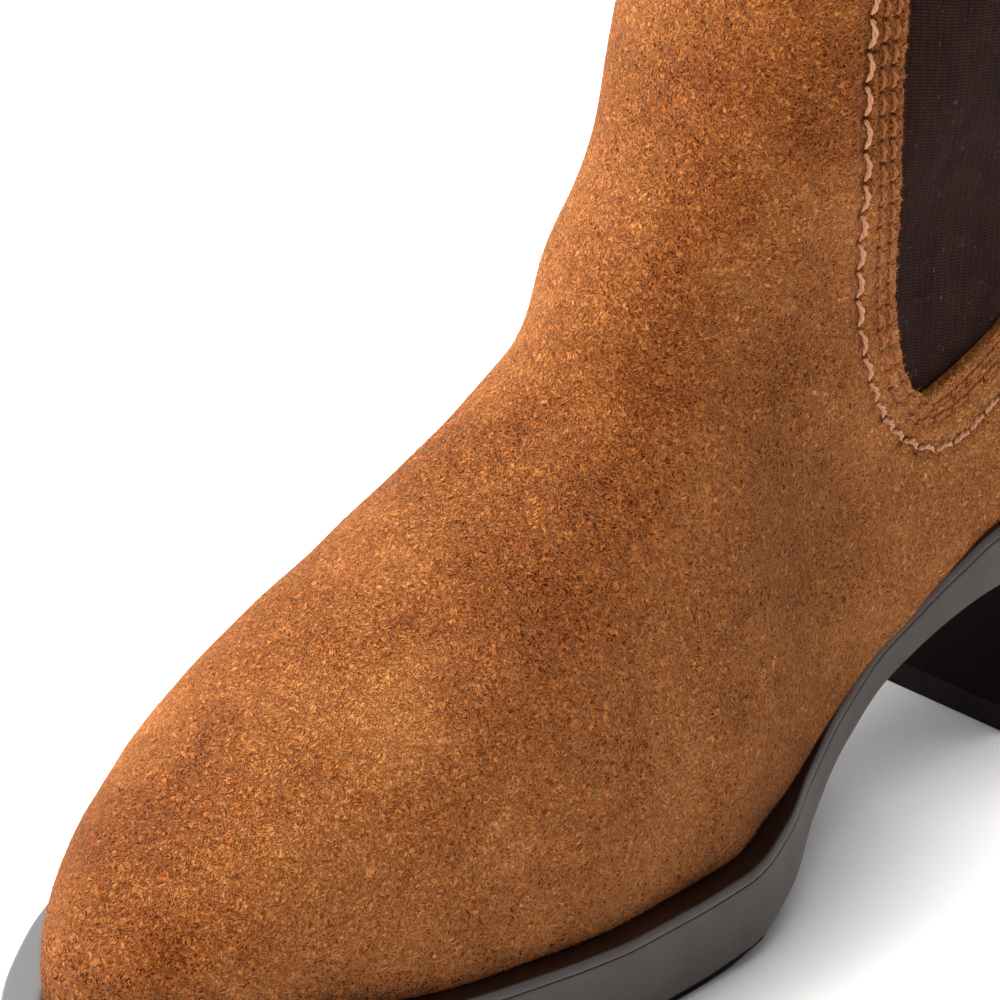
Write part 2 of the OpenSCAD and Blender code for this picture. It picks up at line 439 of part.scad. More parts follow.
// Two rows down the back strip
module back_strip_stitching() {
    color([0.66, 0.37, 0.18]) for (s = [-1, 1])
        thread([for (i = [0:14]) let (z = lerp(deck(-2) + 6, collar_h - 2, i / 14), x = s * (strip_w(z) - 2.2)) place([x, back_y(x, z) + strip_t, z])], thread_d * 0.8);
}

// ---------- pull tab ----------
tab_z = collar_h + 4.6 + 1.9;                       // hinge line, just over the collar's back edge
tab_y = back(collar_h + 4) - suede_t - 0.65;
module tab_tail() {
    Z = [for (i = [0:4]) lerp(tab_z - 19, collar_h + 4.6, i / 4)];
    color([0.1, 0.07, 0.06]) back_patch(Z, [for (z = Z) tab_w / 2], -suede_t - 1.1, -suede_t - 0.15);
}
// A teardrop of webbing standing on its hinge line
function drop(t) = let (a = 180 * t) [0.5 + 5.2 * pow(sin(a), 1.2) * (0.35 + 0.65 * t), 0.5 + (tab_h - 0.5) * (1 - cos(a)) / 2];
module pull_tab() {
    S = [for (i = [0:18]) drop(i / 18)];
    n = len(S);
    function off(i, d) = let (t = unit(S[min(i + 1, n - 1)] - S[max(i - 1, 0)])) S[i] + d * [t[1], -t[0]];
    outer = concat([for (i = [0:n - 2]) off(i, 0)], [[0, tab_h]], [for (i = [n - 2:-1:0]) [-off(i, 0)[0], off(i, 0)[1]]]);
    inner = [for (i = [3:n - 2]) off(i, -tab_t)];
    hole = concat([for (p = inner) p], [[0, tab_h - tab_t]], [for (i = [len(inner) - 1:-1:0]) [-inner[i][0], inner[i][1]]]);
    color([0.1, 0.07, 0.06]) translate([-tab_w / 2, (tab_y + y_mid) * ky, tab_z])
        rotate([90, 0, 90]) linear_extrude(height = tab_w) difference() {
            union() { polygon(outer); circle(r = 0.9, $fn = 32); }
            polygon(hole);
        }
}

tread();
midsole();
welt();
bottom_filler();
shank();
heel_block();
heel_top_piece();
heel_screw();
heel_nails();
top_piece_pins();
insole_board();
footbed_foam();
sock_lining();
toe_puff();
heel_counter();
vamp_lining();
quarter_lining();
gore_lateral();
gore_medial();
upper();
back_strip();
gore_stitching_lateral();
gore_stitching_medial();
collar_stitching();
back_strip_stitching();
tab_tail();
pull_tab();
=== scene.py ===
import math

import bpy
import numpy as np
from mathutils import Matrix, Vector


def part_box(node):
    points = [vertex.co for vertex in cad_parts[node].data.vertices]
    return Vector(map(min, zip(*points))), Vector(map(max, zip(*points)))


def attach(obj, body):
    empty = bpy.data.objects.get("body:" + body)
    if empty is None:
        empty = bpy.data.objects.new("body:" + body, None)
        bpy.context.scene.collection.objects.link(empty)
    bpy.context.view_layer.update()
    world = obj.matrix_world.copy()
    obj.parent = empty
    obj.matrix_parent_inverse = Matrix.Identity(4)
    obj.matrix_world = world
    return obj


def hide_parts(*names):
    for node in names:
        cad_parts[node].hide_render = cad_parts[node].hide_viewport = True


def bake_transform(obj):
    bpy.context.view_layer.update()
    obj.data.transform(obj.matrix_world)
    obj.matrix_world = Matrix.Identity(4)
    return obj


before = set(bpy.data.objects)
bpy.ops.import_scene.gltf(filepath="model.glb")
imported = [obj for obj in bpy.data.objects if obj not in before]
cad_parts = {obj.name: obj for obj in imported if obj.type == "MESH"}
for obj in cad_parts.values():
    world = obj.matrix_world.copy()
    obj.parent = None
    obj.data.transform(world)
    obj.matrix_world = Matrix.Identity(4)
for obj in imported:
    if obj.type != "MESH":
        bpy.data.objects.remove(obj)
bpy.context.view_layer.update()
RNG = np.random.default_rng(5)

# The design's long axis and heel end, found from the heel's screw, which stands at x 0 and 30 mm in front of the heel
_lo, _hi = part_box("heel_screw")
X_MID = -500.0 * (_lo[0] + _hi[0])
Y_MID = 500.0 * (_lo[1] + _hi[1]) + 30.0


def place(p):
    """Design millimetres to metres in the row frame."""
    p = np.asarray(p, float)
    return (p + [-X_MID, Y_MID, 0.0]) / 1000.0


# ------------------------------------------------------------------ the boot's own curves, in mm
HEEL_H, BAND_T, WAIST_T, WELT_T, TREAD_T, TOP_T = 37.0, 16.4, 8.0, 1.6, 1.4, 6.0
COLLAR_H, SUEDE_T, GORE_T, LINING_T = 181.0, 1.8, 1.0, 1.1
TAB_W, TAB_H, TAB_T = 17.0, 24.0, 1.0


def lerp(a, b, t):
    return a + (b - a) * t


def clip01(t):
    return np.clip(t, 0.0, 1.0)


def ease(a, b, x):
    t = clip01((np.asarray(x, float) - a) / (b - a))
    return t * t * (3 - 2 * t)


def cap(t, n):
    return np.sqrt(np.maximum(1 - (1 - clip01(t)) ** n, 0))


class Curve:
    """A smooth monotone curve through [where, value] pairs."""

    def __init__(self, table):
        T = np.array(table, float)
        self.x, self.y = T[:, 0], T[:, 1]
        h, d = np.diff(self.x), np.diff(self.y) / np.diff(self.x)
        m = np.zeros(len(T))
        m[0], m[-1] = d[0], d[-1]
        for i in range(1, len(T) - 1):
            a, b, p, q = d[i - 1], d[i], h[i - 1], h[i]
            m[i] = 0 if a * b <= 0 else 3 * (p + q) / ((2 * q + p) / a + (q + 2 * p) / b)
        self.m = m

    def __call__(self, x):
        x = np.clip(np.asarray(x, float), self.x[0], self.x[-1])
        i = np.clip(np.searchsorted(self.x, x, side="right") - 1, 0, len(self.x) - 2)
        h = self.x[i + 1] - self.x[i]
        t = (x - self.x[i]) / h
        return ((2 * t**3 - 3 * t**2 + 1) * self.y[i] + (t**3 - 2 * t**2 + t) * h * self.m[i]
                + (3 * t**2 - 2 * t**3) * self.y[i + 1] + (t**3 - t**2) * h * self.m[i + 1])


UNDER = Curve([[-280, 7], [-260, 4.2], [-235, 1.8], [-205, 0], [-185, 0], [-165, 0], [-150, 1], [-130, 0.2 * HEEL_H],
               [-110, 0.45 * HEEL_H], [-90, 0.71 * HEEL_H], [-62, HEEL_H - 1.4], [-30, HEEL_H], [0, HEEL_H]])
EDGE = Curve([[-280, BAND_T + WELT_T], [-180, BAND_T + WELT_T], [-150, BAND_T + WELT_T - 0.6], [-134, BAND_T + WELT_T - 3],
              [-114, WAIST_T + WELT_T + 0.6], [-100, WAIST_T + 1.2], [-88, WAIST_T + 1], [-74, WAIST_T + WELT_T + 0.8],
              [-60, WAIST_T + WELT_T + 3.2], [0, WAIST_T + WELT_T + 3.2]])
SOLE_L = Curve([[-280, 46], [-250, 47.5], [-225, 47.5], [-200, 46.6], [-175, 48], [-150, 48.2], [-135, 44.2], [-120, 36.4],
                [-105, 31], [-90, 28.8], [-60, 32], [-30, 33], [0, 33]])
SOLE_M = Curve([[-280, 40], [-262, 46.5], [-248, 50.5], [-230, 52], [-200, 49.3], [-175, 43], [-150, 31.5], [-120, 23.5],
                [-90, 24.5], [-60, 29], [-30, 32], [0, 32]])
BEND = Curve([[-280, -3], [-250, -2.5], [-225, -2.5], [-190, 0], [0, 0]])
LEDGE_L = Curve([[-280, 6.2], [-200, 5.6], [-160, 6.8], [-140, 5.8], [-120, 2.8], [-100, 0.8], [-90, 0.4], [-78, 1.2],
                 [-62, 2.4], [-30, 2.6], [0, 2.6]])
LEDGE_M = Curve([[-280, 9.5], [-260, 8.6], [-240, 6.8], [-220, 6], [-200, 5.6], [-160, 6], [-140, 4], [-120, 1], [-90, 0.3],
                 [-60, 1.5], [-30, 2.4], [0, 2.6]])
FRONT = Curve([[20, -269.5], [26, -270.5], [32, -269.5], [38, -265], [44, -257], [50, -246.5], [56, -235], [64, -218.5],
               [74, -197.5], [84, -177.5], [93, -159.5], [98, -151.6], [104, -146.2], [112, -140.8], [124, -132.9], [140, -124.8],
               [156, -118], [172, -112.8], [190, -108.8]])
BACK = Curve([[46, -2], [54, 1], [64, 3], [74, 3], [86, 1], [100, -4], [115, -8.5], [130, -10.5], [145, -9.5], [160, -6.5],
              [175, -3], [190, 0]])
FRONT_LEN = Curve([[20, 92], [40, 92], [60, 88], [80, 80], [100, 66], [120, 52], [190, 50]])
FRONT_EXP = Curve([[20, 1.45], [36, 1.55], [50, 1.85], [66, 2.2], [88, 2.2], [106, 1.85], [130, 2.15], [190, 2.15]])
BACK_LEN = Curve([[40, 32], [60, 36], [90, 44], [120, 48], [190, 52]])
SHAFT_W = Curve([[90, 32.5], [115, 32.5], [150, 36], [190, 40.5]])
TIP_Z, TIP_Y, HEEL_Z, HEEL_Y = 80.5, -78.0, 113.0, -40.0
GORE_F = Curve([[80.5, -78], [84, -82], [90, -85], [98, -87], [110, -88.5], [125, -90.5], [138, -92], [150, -91.5],
                [167, -90], [190, -89]])
GORE_R = Curve([[113, -40], [125, -37.5], [140, -36], [160, -36], [190, -37]])
GORE_B = Curve([[-78, 80.5], [-66, 84.5], [-58, 88], [-50, 94], [-44, 102], [-40, 113]])
GUIDE = Curve([[20, -104], [45, -97], [80.5, -78], [113, -66]])
COLLAR = Curve([[-117, COLLAR_H + 3], [-89, COLLAR_H], [-63, COLLAR_H - 1], [-37, COLLAR_H + 1], [0, COLLAR_H + 5]])


def deck(y):
    return UNDER(y) + EDGE(y)


def sole_x(y, s, side):
    half = (SOLE_L(y) if side > 0 else SOLE_M(y)) - s
    return BEND(y) + side * half * cap((y + 280 - s) / 100, 1.45) * cap((-s - y) / 34, 2.1)


def side_w(y, z, lateral, ws):
    b = np.where(lateral, SOLE_L(y) - LEDGE_L(y), SOLE_M(y) - LEDGE_M(y))
    u = (1 + ease(-200, -150, y) * (1 - 0.8 * ease(-105, -70, y))) * np.sin(np.pi * clip01((z - deck(y)) / 36))
    return b + u + (ws - b - u) * ease(52, 112, z)


def axis_x(y, z):
    return BEND(y) * (1 - ease(50, 80, z)) - 4 * ease(45, 75, z) * (1 - ease(105, 140, z))


def skin_x(y, z, side, s=0.0):
    side = np.asarray(side, float) + 0 * np.asarray(y, float)
    e = cap((y - FRONT(z) - s) / FRONT_LEN(z), FRONT_EXP(z)) * cap((BACK(z) - s - y) / BACK_LEN(z), 2.15)
    w = side_w(y, z, side > 0, SHAFT_W(z) - np.where(side > 0, 0.0, 0.5))
    return axis_x(y, z) + side * e * (w - s)


def skin(y, z, side):
    y, z = np.asarray(y, float), np.asarray(z, float)
    return np.stack([skin_x(y, z, side), y, z], -1)


def skin_normal(y, z, side, e=0.4):
    a = skin(y + e, z, side) - skin(y - e, z, side)
    b = skin(y, z + e, side) - skin(y, z - e, side)
    n = np.cross(a, b) * np.asarray(side, float)[..., None] if np.ndim(side) else np.cross(a, b) * side
    return n / np.linalg.norm(n, axis=-1, keepdims=True)


# ------------------------------------------------------------------ soft unevenness of lasted suede, in mm
_K = RNG.normal(size=(26, 3))
_K /= np.linalg.norm(_K, axis=1, keepdims=True)
_W = 2 * np.pi / np.geomspace(16, 70, 26)
_P = RNG.uniform(0, 2 * np.pi, 26)
_A = np.geomspace(0.035, 0.16, 26)


def swell(p):
    """Slow hills and hollows that the last and the hand leave in the leather."""
    v = np.zeros(p.shape[:-1])
    for k, w, f, a in zip(_K, _W, _P, _A):
        v += a * np.sin((p @ k) * w + f)
    return v


def valley(p, a, b, depth, width):
    """A soft fold along the line from a to b."""
    a, b = np.array(a, float), np.array(b, float)
    t = clip01(((p - a) @ (b - a)) / ((b - a) @ (b - a)))
    d = np.linalg.norm(p - (a + t[..., None] * (b - a)), axis=-1)
    return -depth * np.exp(-((d / width) ** 2)) * np.sin(np.pi * np.clip(0.12 + 0.76 * t, 0, 1))


def relief(p):
    v = swell(p)
    # where the foot bends: shallow folds over the vamp and into the ankle
    v += valley(p, (34, -176, 62), (-6, -168, 92), 0.55, 7.0)
    v += valley(p, (36, -152, 60), (6, -150, 98), 0.45, 6.0)
    v += valley(p, (-34, -176, 62), (6, -166, 92), 0.4, 7.0)
    v += valley(p, (30, -118, 84), (14, -126, 100), 0.5, 8.0)
    v += valley(p, (-30, -116, 84), (-14, -124, 100), 0.2, 8.0)
    v += valley(p, (30, -24, 112), (8, -8, 118), 0.35, 8.0)
    return v


# ------------------------------------------------------------------ mesh helpers
def mesh_object(name, verts, faces, mat, body="boot", smooth=True, sharp=None, stands_for=(), attrs=None,
                mats=None, face_mat=None):
    me = bpy.data.meshes.new(name)
    me.from_pydata(place(verts).tolist(), [], [list(map(int, f)) for f in faces])
    me.validate(verbose=False)
    for m in (mats or [mat]):
        me.materials.append(m)
    if face_mat is not None:
        me.polygons.foreach_set("material_index", np.asarray(face_mat, np.int32))
    for key, val in (attrs or {}).items():
        val = np.asarray(val, np.float32)
        kind = "FLOAT" if val.ndim == 1 else "FLOAT_VECTOR"
        at = me.attributes.new(key, kind, "POINT")
        at.data.foreach_set("value" if val.ndim == 1 else "vector", val.ravel())
    me.polygons.foreach_set("use_smooth", np.full(len(me.polygons), smooth, bool))
    if sharp:
        me.set_sharp_from_angle(angle=math.radians(sharp))
    me.update()
    ob = bpy.data.objects.new(name, me)
    bpy.context.scene.collection.objects.link(ob)
    if body:
        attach(ob, body)
    if stands_for:
        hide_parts(*stands_for)
    return ob


def shell_faces(mask, nc, closed=True):
    """Quads between an outer grid and an inner grid over the cells in mask[i, c], with the rims closed."""
    nr = mask.shape[0] + 1
    n = nr * nc
    F, rim = [], []

    def o(i, c):
        return i * nc + c % nc

    def on(i, c):
        if i < 0 or i >= nr - 1:
            return False
        if closed:
            return bool(mask[i, c % mask.shape[1]])
        return 0 <= c < mask.shape[1] and bool(mask[i, c])

    for i in range(nr - 1):
        for c in range(mask.shape[1]):
            if not mask[i, c]:
                continue
            F.append((o(i, c), o(i, c + 1), o(i + 1, c + 1), o(i + 1, c)))
            rim.append(0)
            F.append((n + o(i, c), n + o(i + 1, c), n + o(i + 1, c + 1), n + o(i, c + 1)))
            rim.append(1)
            if not on(i - 1, c):
                F.append((o(i, c), n + o(i, c), n + o(i, c + 1), o(i, c + 1)))
                rim.append(2)
            if not on(i + 1, c):
                F.append((o(i + 1, c), o(i + 1, c + 1), n + o(i + 1, c + 1), n + o(i + 1, c)))
                rim.append(2)
            if not on(i, c - 1):
                F.append((o(i, c), o(i + 1, c), n + o(i + 1, c), n + o(i, c)))
                rim.append(2)
            if not on(i, c + 1):
                F.append((o(i, c + 1), n + o(i, c + 1), n + o(i + 1, c + 1), o(i + 1, c + 1)))
                rim.append(2)
    return F, rim


def compact(verts, faces, extra=()):
    """Drops the points that no face uses."""
    F = np.array(faces)
    used = np.unique(F)
    back = np.full(len(verts), -1)
    back[used] = np.arange(len(used))
    return verts[used], back[F].tolist(), [e[used] for e in extra], used


def grid_normals(G, closed=True):
    a = np.roll(G, -1, 1) - np.roll(G, 1, 1)
    if not closed:
        a[:, 0], a[:, -1] = G[:, 1] - G[:, 0], G[:, -1] - G[:, -2]
    b = np.empty_like(G)
    b[1:-1], b[0], b[-1] = G[2:] - G[:-2], G[1] - G[0], G[-1] - G[-2]
    n = np.cross(a, b)
    return n / np.maximum(np.linalg.norm(n, axis=-1, keepdims=True), 1e-9)


# ------------------------------------------------------------------ materials
class Mat:
    def __init__(self, name):
        self.m = bpy.data.materials.new(name)
        self.m.use_nodes = True
        self.t = self.m.node_tree
        self.b = self.t.nodes["Principled BSDF"]
        self.b.inputs["Specular IOR Level"].default_value = 0.5
        self._obj = None

    def n(self, kind, **kw):
        x = self.t.nodes.new("ShaderNode" + kind)
        for k, v in kw.items():
            setattr(x, k, v)
        return x

    def put(self, sock, v):
        if isinstance(v, bpy.types.NodeSocket):
            self.t.links.new(v, sock)
        elif v is not None:
            sock.default_value = v

    def co(self):
        if self._obj is None:
            self._obj = self.n("TexCoord").outputs["Object"]
        return self._obj

    def attr(self, name, out="Fac"):
        return self.n("Attribute", attribute_name=name).outputs[out]

    def math(self, op, a, b=None, c=None, clamp=False):
        x = self.n("Math", operation=op, use_clamp=clamp)
        self.put(x.inputs[0], a)
        if b is not None:
            self.put(x.inputs[1], b)
        if c is not None:
            self.put(x.inputs[2], c)
        return x.outputs[0]

    def vmath(self, op, a, b=None, scale=None):
        x = self.n("VectorMath", operation=op)
        self.put(x.inputs[0], a)
        if b is not None:
            self.put(x.inputs[1], b)
        if scale is not None:
            self.put(x.inputs["Scale"], scale)
        return x.outputs[0]

    def noise(self, scale, detail=2.0, rough=0.5, dist=0.0, vec=None, out="Fac"):
        x = self.n("TexNoise")
        self.put(x.inputs["Vector"], vec if vec is not None else self.co())
        x.inputs["Scale"].default_value = scale
        x.inputs["Detail"].default_value = detail
        x.inputs["Roughness"].default_value = rough
        x.inputs["Distortion"].default_value = dist
        return x.outputs[out]

    def voronoi(self, scale, vec=None, feature="F1", out="Distance", rand=1.0):
        x = self.n("TexVoronoi", feature=feature)
        self.put(x.inputs["Vector"], vec if vec is not None else self.co())
        x.inputs["Scale"].default_value = scale
        x.inputs["Randomness"].default_value = rand
        return x.outputs[out]

    def ramp(self, fac, stops):
        x = self.n("ValToRGB")
        e = x.color_ramp.elements
        while len(e) < len(stops):
            e.new(0.5)
        for el, (pos, colr) in zip(e, stops):
            el.position = pos
            el.color = (*colr, 1) if np.ndim(colr) else (colr, colr, colr, 1)
        self.put(x.inputs[0], fac)
        return x.outputs[0]

    def mix(self, fac, a, b, blend="MIX"):
        x = self.n("Mix", data_type="RGBA", blend_type=blend)
        self.put(x.inputs[0], fac)
        for s, v in ((x.inputs[6], a), (x.inputs[7], b)):
            self.put(s, (*v, 1) if isinstance(v, tuple) and len(v) == 3 else v)
        return x.outputs[2]

    def range(self, v, a, b, c, d, smooth=False):
        x = self.n("MapRange", interpolation_type="SMOOTHSTEP" if smooth else "LINEAR")
        for s, w in zip(x.inputs[:5], (v, a, b, c, d)):
            self.put(s, w)
        return x.outputs[0]

    def bump(self, height, strength, distance, normal=None):
        x = self.n("Bump")
        x.inputs["Strength"].default_value = strength
        x.inputs["Distance"].default_value = distance
        self.put(x.inputs["Height"], height)
        if normal is not None:
            self.put(x.inputs["Normal"], normal)
        return x.outputs[0]

    def set(self, **kw):
        names = {"color": "Base Color", "rough": "Roughness", "normal": "Normal", "spec": "Specular IOR Level",
                 "sheen": "Sheen Weight", "sheen_rough": "Sheen Roughness", "sheen_tint": "Sheen Tint",
                 "coat": "Coat Weight", "coat_rough": "Coat Roughness", "metal": "Metallic", "ior": "IOR",
                 "sub": "Subsurface Weight", "diff_rough": "Diffuse Roughness"}
        for k, v in kw.items():
            v = (*v, 1.0) if isinstance(v, tuple) and len(v) == 3 else v
            self.put(self.b.inputs[names[k]], v)
        return self.m


def suede_material(name, light=(0.53, 0.184, 0.048), mid=(0.285, 0.064, 0.0115), dark=(0.068, 0.0080, 0.0016), seam=True):
    m = Mat(name)
    # short nap: curled fibres about a millimetre long that wander with the way the hide was brushed
    warp = m.noise(310, 2, 0.6, 0, out="Color")
    v1 = m.vmath("ADD", m.co(), m.vmath("SCALE", m.vmath("SUBTRACT", warp, (0.5, 0.5, 0.5)), scale=0.0030))
    na = m.noise(1250, 1.0, 0.5, 0.5, vec=v1)
    nb = m.noise(2050, 1.0, 0.5, 0.6, vec=v1)
    worm_a = m.math("SUBTRACT", 1.0, m.math("MULTIPLY", m.math("ABSOLUTE", m.math("SUBTRACT", na, 0.5)), 9.0), clamp=True)
    worm_b = m.math("SUBTRACT", 1.0, m.math("MULTIPLY", m.math("ABSOLUTE", m.math("SUBTRACT", nb, 0.5)), 8.0), clamp=True)
    worm = m.math("MAXIMUM", worm_a, m.math("MULTIPLY", worm_b, 0.8))
    grain = m.noise(800, 2, 0.6)
    height = m.math("ADD", worm, m.math("MULTIPLY", grain, 0.9))
    # brushed patches, from hand-sized down to a few millimetres
    big = m.noise(17, 2, 0.5, 0.5)
    mid_n = m.noise(52, 3, 0.6, 0.8)
    small = m.noise(170, 3, 0.6, 0.4)
    patch = m.math("ADD", m.math("ADD", m.math("MULTIPLY", big, 1.00), m.math("MULTIPLY", mid_n, 0.56)), m.math("MULTIPLY", small, 0.12))
    # the tone attribute adds painted shade: darker in the sewn channels, needle holes and towards the welt, with some
    # grime there
    if seam:
        patch = m.math("ADD", patch, m.attr("tone"))
    # the fibre pattern also sets the colour, lighter on the fibres and darker between them: painted shade in the nap's
    # hollows
    tone = m.math("ADD", m.math("MULTIPLY", patch, 0.95), m.math("MULTIPLY", worm, 0.78))
    tone = m.math("ADD", tone, m.math("MULTIPLY", grain, 0.45))
    tone = m.math("SUBTRACT", tone, 0.92, clamp=True)
    col = m.ramp(tone, [(0.0, dark), (0.36, mid), (0.78, light), (1.0, (0.70, 0.285, 0.090))])
    n = m.bump(height, 0.85, 0.0006)
    n = m.bump(small, 0.35, 0.0010, n)
    return m.set(color=col, rough=0.97, normal=n, spec=0.02, sheen=0.33, sheen_rough=0.26, sheen_tint=(1.0, 0.68, 0.37))


def nap_material():
    m = Mat("suede_nap")
    big = m.noise(17, 2, 0.5, 0.5)
    mid_n = m.noise(52, 3, 0.6, 0.8)
    each = m.noise(900, 2, 0.6)
    f = m.math("ADD", m.math("ADD", m.math("MULTIPLY", big, 0.5), m.math("MULTIPLY", mid_n, 0.4)), m.math("MULTIPLY", each, 0.7))
    col = m.ramp(f, [(0.50, (0.20, 0.040, 0.008)), (0.85, (0.40, 0.120, 0.027)), (1.0, (0.52, 0.19, 0.05))])
    return m.set(color=col, rough=0.9, spec=0.02, sheen=0.05, sheen_rough=0.3, sheen_tint=(1.0, 0.52, 0.22))


def gore_material():
    m = Mat("elastic_gore")
    st = m.n("SeparateXYZ")
    m.put(st.inputs[0], m.attr("st", "Vector"))
    u, v = st.outputs[0], st.outputs[1]
    wob = m.math("MULTIPLY", m.math("SUBTRACT", m.noise(500, 2, 0.6), 0.5), 0.22)
    rib = m.math("SINE", m.math("MULTIPLY", m.math("ADD", u, wob), 2 * math.pi / 0.46))
    row = m.math("FLOOR", m.math("MULTIPLY", u, 1 / 0.46))
    knit = m.math("SINE", m.math("ADD", m.math("MULTIPLY", m.math("ADD", v, wob), 2 * math.pi / 0.66), m.math("MULTIPLY", row, 2.3)))
    weave = m.math("MULTIPLY", m.math("ADD", rib, 1.0), m.math("ADD", knit, 1.3))
    lint = m.range(m.noise(900, 1, 0.5), 0.68, 0.80, 0.0, 1.0)
    slub = m.noise(160, 3, 0.6)
    f = m.math("ADD", m.math("MULTIPLY", weave, 0.13), m.math("MULTIPLY", slub, 0.55))
    col = m.ramp(f, [(0.12, (0.0075, 0.0020, 0.0014)), (0.45, (0.0225, 0.0092, 0.0068)), (0.85, (0.049, 0.0300, 0.0250))])
    col = m.mix(m.math("MULTIPLY", lint, 0.5), col, (0.11, 0.095, 0.088))
    n = m.bump(weave, 0.6, 0.00022)
    return m.set(color=col, rough=0.88, normal=n, spec=0.05, sheen=0.02, sheen_rough=0.5, sheen_tint=(1.0, 0.5, 0.4))


def thread_material(name, light, dark):
    m = Mat(name)
    w = m.noise(2600, 3, 0.65, 0.5)
    g = m.noise(260, 2, 0.5)
    f = m.math("ADD", m.math("MULTIPLY", w, 0.7), m.math("MULTIPLY", g, 0.3))
    col = m.ramp(f, [(0.3, dark), (0.62, light)])
    return m.set(color=col, rough=0.62, normal=m.bump(w, 0.5, 0.00012), spec=0.18, sheen=0.08, sheen_rough=0.4, sheen_tint=(1.0, 0.72, 0.55))


EDGE_STOPS = [(0.28, (0.040, 0.0290, 0.0250)), (0.52, (0.058, 0.0440, 0.0388)), (0.76, (0.078, 0.0615, 0.0550))]


def trimmed_edge(m):
    """Colour and height of the sole's edge, trimmed on a wheel: fine marks that run along it."""
    fine = m.noise(2200, 3, 0.6)
    mid_n = m.noise(150, 4, 0.62)
    sc = m.n("Mapping", vector_type="POINT")
    m.put(sc.inputs["Vector"], m.co())
    sc.inputs["Scale"].default_value = (1.0, 1.0, 14.0)
    trim = m.noise(130, 4, 0.6, 0.2, vec=sc.outputs[0])
    f = m.math("ADD", m.math("MULTIPLY", mid_n, 0.45), m.math("ADD", m.math("MULTIPLY", trim, 0.30), m.math("MULTIPLY", fine, 0.25)))
    return m.ramp(f, EDGE_STOPS), m.math("ADD", m.math("MULTIPLY", trim, 0.7), m.math("MULTIPLY", fine, 0.3))


def welt_material():
    m = Mat("welt_black")
    n1 = m.noise(120, 4, 0.6)
    n2 = m.noise(1400, 2, 0.5)
    top = m.attr("top")
    black = m.ramp(n1, [(0.3, (0.0060, 0.0022, 0.0018)), (0.7, (0.0120, 0.0045, 0.0036))])
    edge, h_edge = trimmed_edge(m)
    col = m.mix(top, m.mix(0.22, edge, (0.10, 0.09, 0.083)), black)
    rough = m.math("ADD", m.range(top, 0.0, 1.0, 0.50, 0.26), m.math("MULTIPLY", n1, 0.08))
    h = m.math("ADD", m.math("MULTIPLY", n1, 0.6), m.math("MULTIPLY", n2, 0.4))
    return m.set(color=col, rough=rough, normal=m.bump(h, 0.06, 0.0002), spec=0.52)


def midsole_material():
    m = Mat("midsole_brown")
    col, h = trimmed_edge(m)
    return m.set(color=col, rough=0.50, normal=m.bump(h, 0.12, 0.0002), spec=0.34)


def rubber_material(name="tread_rubber", base=(0.0075, 0.0050, 0.0045)):
    m = Mat(name)
    n1 = m.noise(1500, 3, 0.6)
    n2 = m.noise(90, 4, 0.6)
    b = np.array(base)
    col = m.ramp(n2, [(0.3, tuple(b * 0.7)), (0.7, tuple(b * 1.7))])
    scuff = m.range(m.noise(420, 4, 0.7, 1.0), 0.58, 0.72, 0.0, 0.35)
    col = m.mix(scuff, col, tuple(b * 3.2))
    return m.set(color=col, rough=m.range(n2, 0.3, 0.7, 0.55, 0.75), normal=m.bump(n1, 0.35, 0.00022), spec=0.06)


def heel_material():
    m = Mat("heel_black")
    sc = m.n("Mapping", vector_type="POINT")
    m.put(sc.inputs["Vector"], m.co())
    sc.inputs["Scale"].default_value = (1.0, 1.0, 9.0)
    lift = m.noise(45, 3, 0.6, 0.3, vec=sc.outputs[0])
    fine = m.noise(1600, 3, 0.6)
    col = m.ramp(lift, [(0.3, (0.0026, 0.0012, 0.0010)), (0.7, (0.0062, 0.0030, 0.0026))])
    h = m.math("ADD", m.math("MULTIPLY", lift, 0.7), m.math("MULTIPLY", fine, 0.3))
    return m.set(color=col, rough=m.range(lift, 0.3, 0.7, 0.50, 0.62), normal=m.bump(h, 0.25, 0.0003), spec=0.03)


def leather_material(name, light, dark, rough=0.5, scale=520):
    m = Mat(name)
    cells = m.voronoi(scale, feature="DISTANCE_TO_EDGE")
    crease = m.range(cells, 0.0, 0.13, 0.0, 1.0, smooth=True)
    pores = m.noise(scale * 2.6, 3, 0.6)
    mott = m.noise(40, 4, 0.6, 0.5)
    f = m.math("ADD", m.math("MULTIPLY", mott, 0.75), m.math("MULTIPLY", crease, 0.2))
    col = m.ramp(f, [(0.25, dark), (0.75, light)])
    h = m.math("ADD", m.math("MULTIPLY", crease, 0.8), m.math("MULTIPLY", pores, 0.35))
    return m.set(color=col, rough=m.range(mott, 0.3, 0.7, rough - 0.06, rough + 0.1), normal=m.bump(h, 0.35, 0.00022), spec=0.4)


def webbing_material():
    m = Mat("webbing")
    st = m.n("SeparateXYZ")
    m.put(st.inputs[0], m.attr("st", "Vector"))
    u, v = st.outputs[0], st.outputs[1]
    # twill: yarns that step diagonally, turning at the middle to a herringbone
    au = m.math("ABSOLUTE", u)
    a = m.math("SINE", m.math("MULTIPLY", m.math("ADD", au, v), 2 * math.pi / 1.5))
    b = m.math("SINE", m.math("MULTIPLY", au, 2 * math.pi / 0.75))
    c = m.math("SINE", m.math("MULTIPLY", v, 2 * math.pi / 0.62))
    h = m.math("ADD", m.math("MULTIPLY", a, 0.6), m.math("ADD", m.math("MULTIPLY", b, 0.22), m.math("MULTIPLY", c, 0.18)))
    fuzz = m.noise(1500, 3, 0.6)
    f = m.math("ADD", m.math("MULTIPLY", h, 0.25), m.math("MULTIPLY", fuzz, 0.8))
    col = m.ramp(f, [(0.15, (0.010, 0.006, 0.005)), (0.5, (0.026, 0.017, 0.014)), (0.9, (0.060, 0.042, 0.036))])
    return m.set(color=col, rough=0.72, normal=m.bump(h, 0.7, 0.00025), spec=0.3, sheen=0.15, sheen_rough=0.5, sheen_tint=(0.9, 0.8, 0.75))


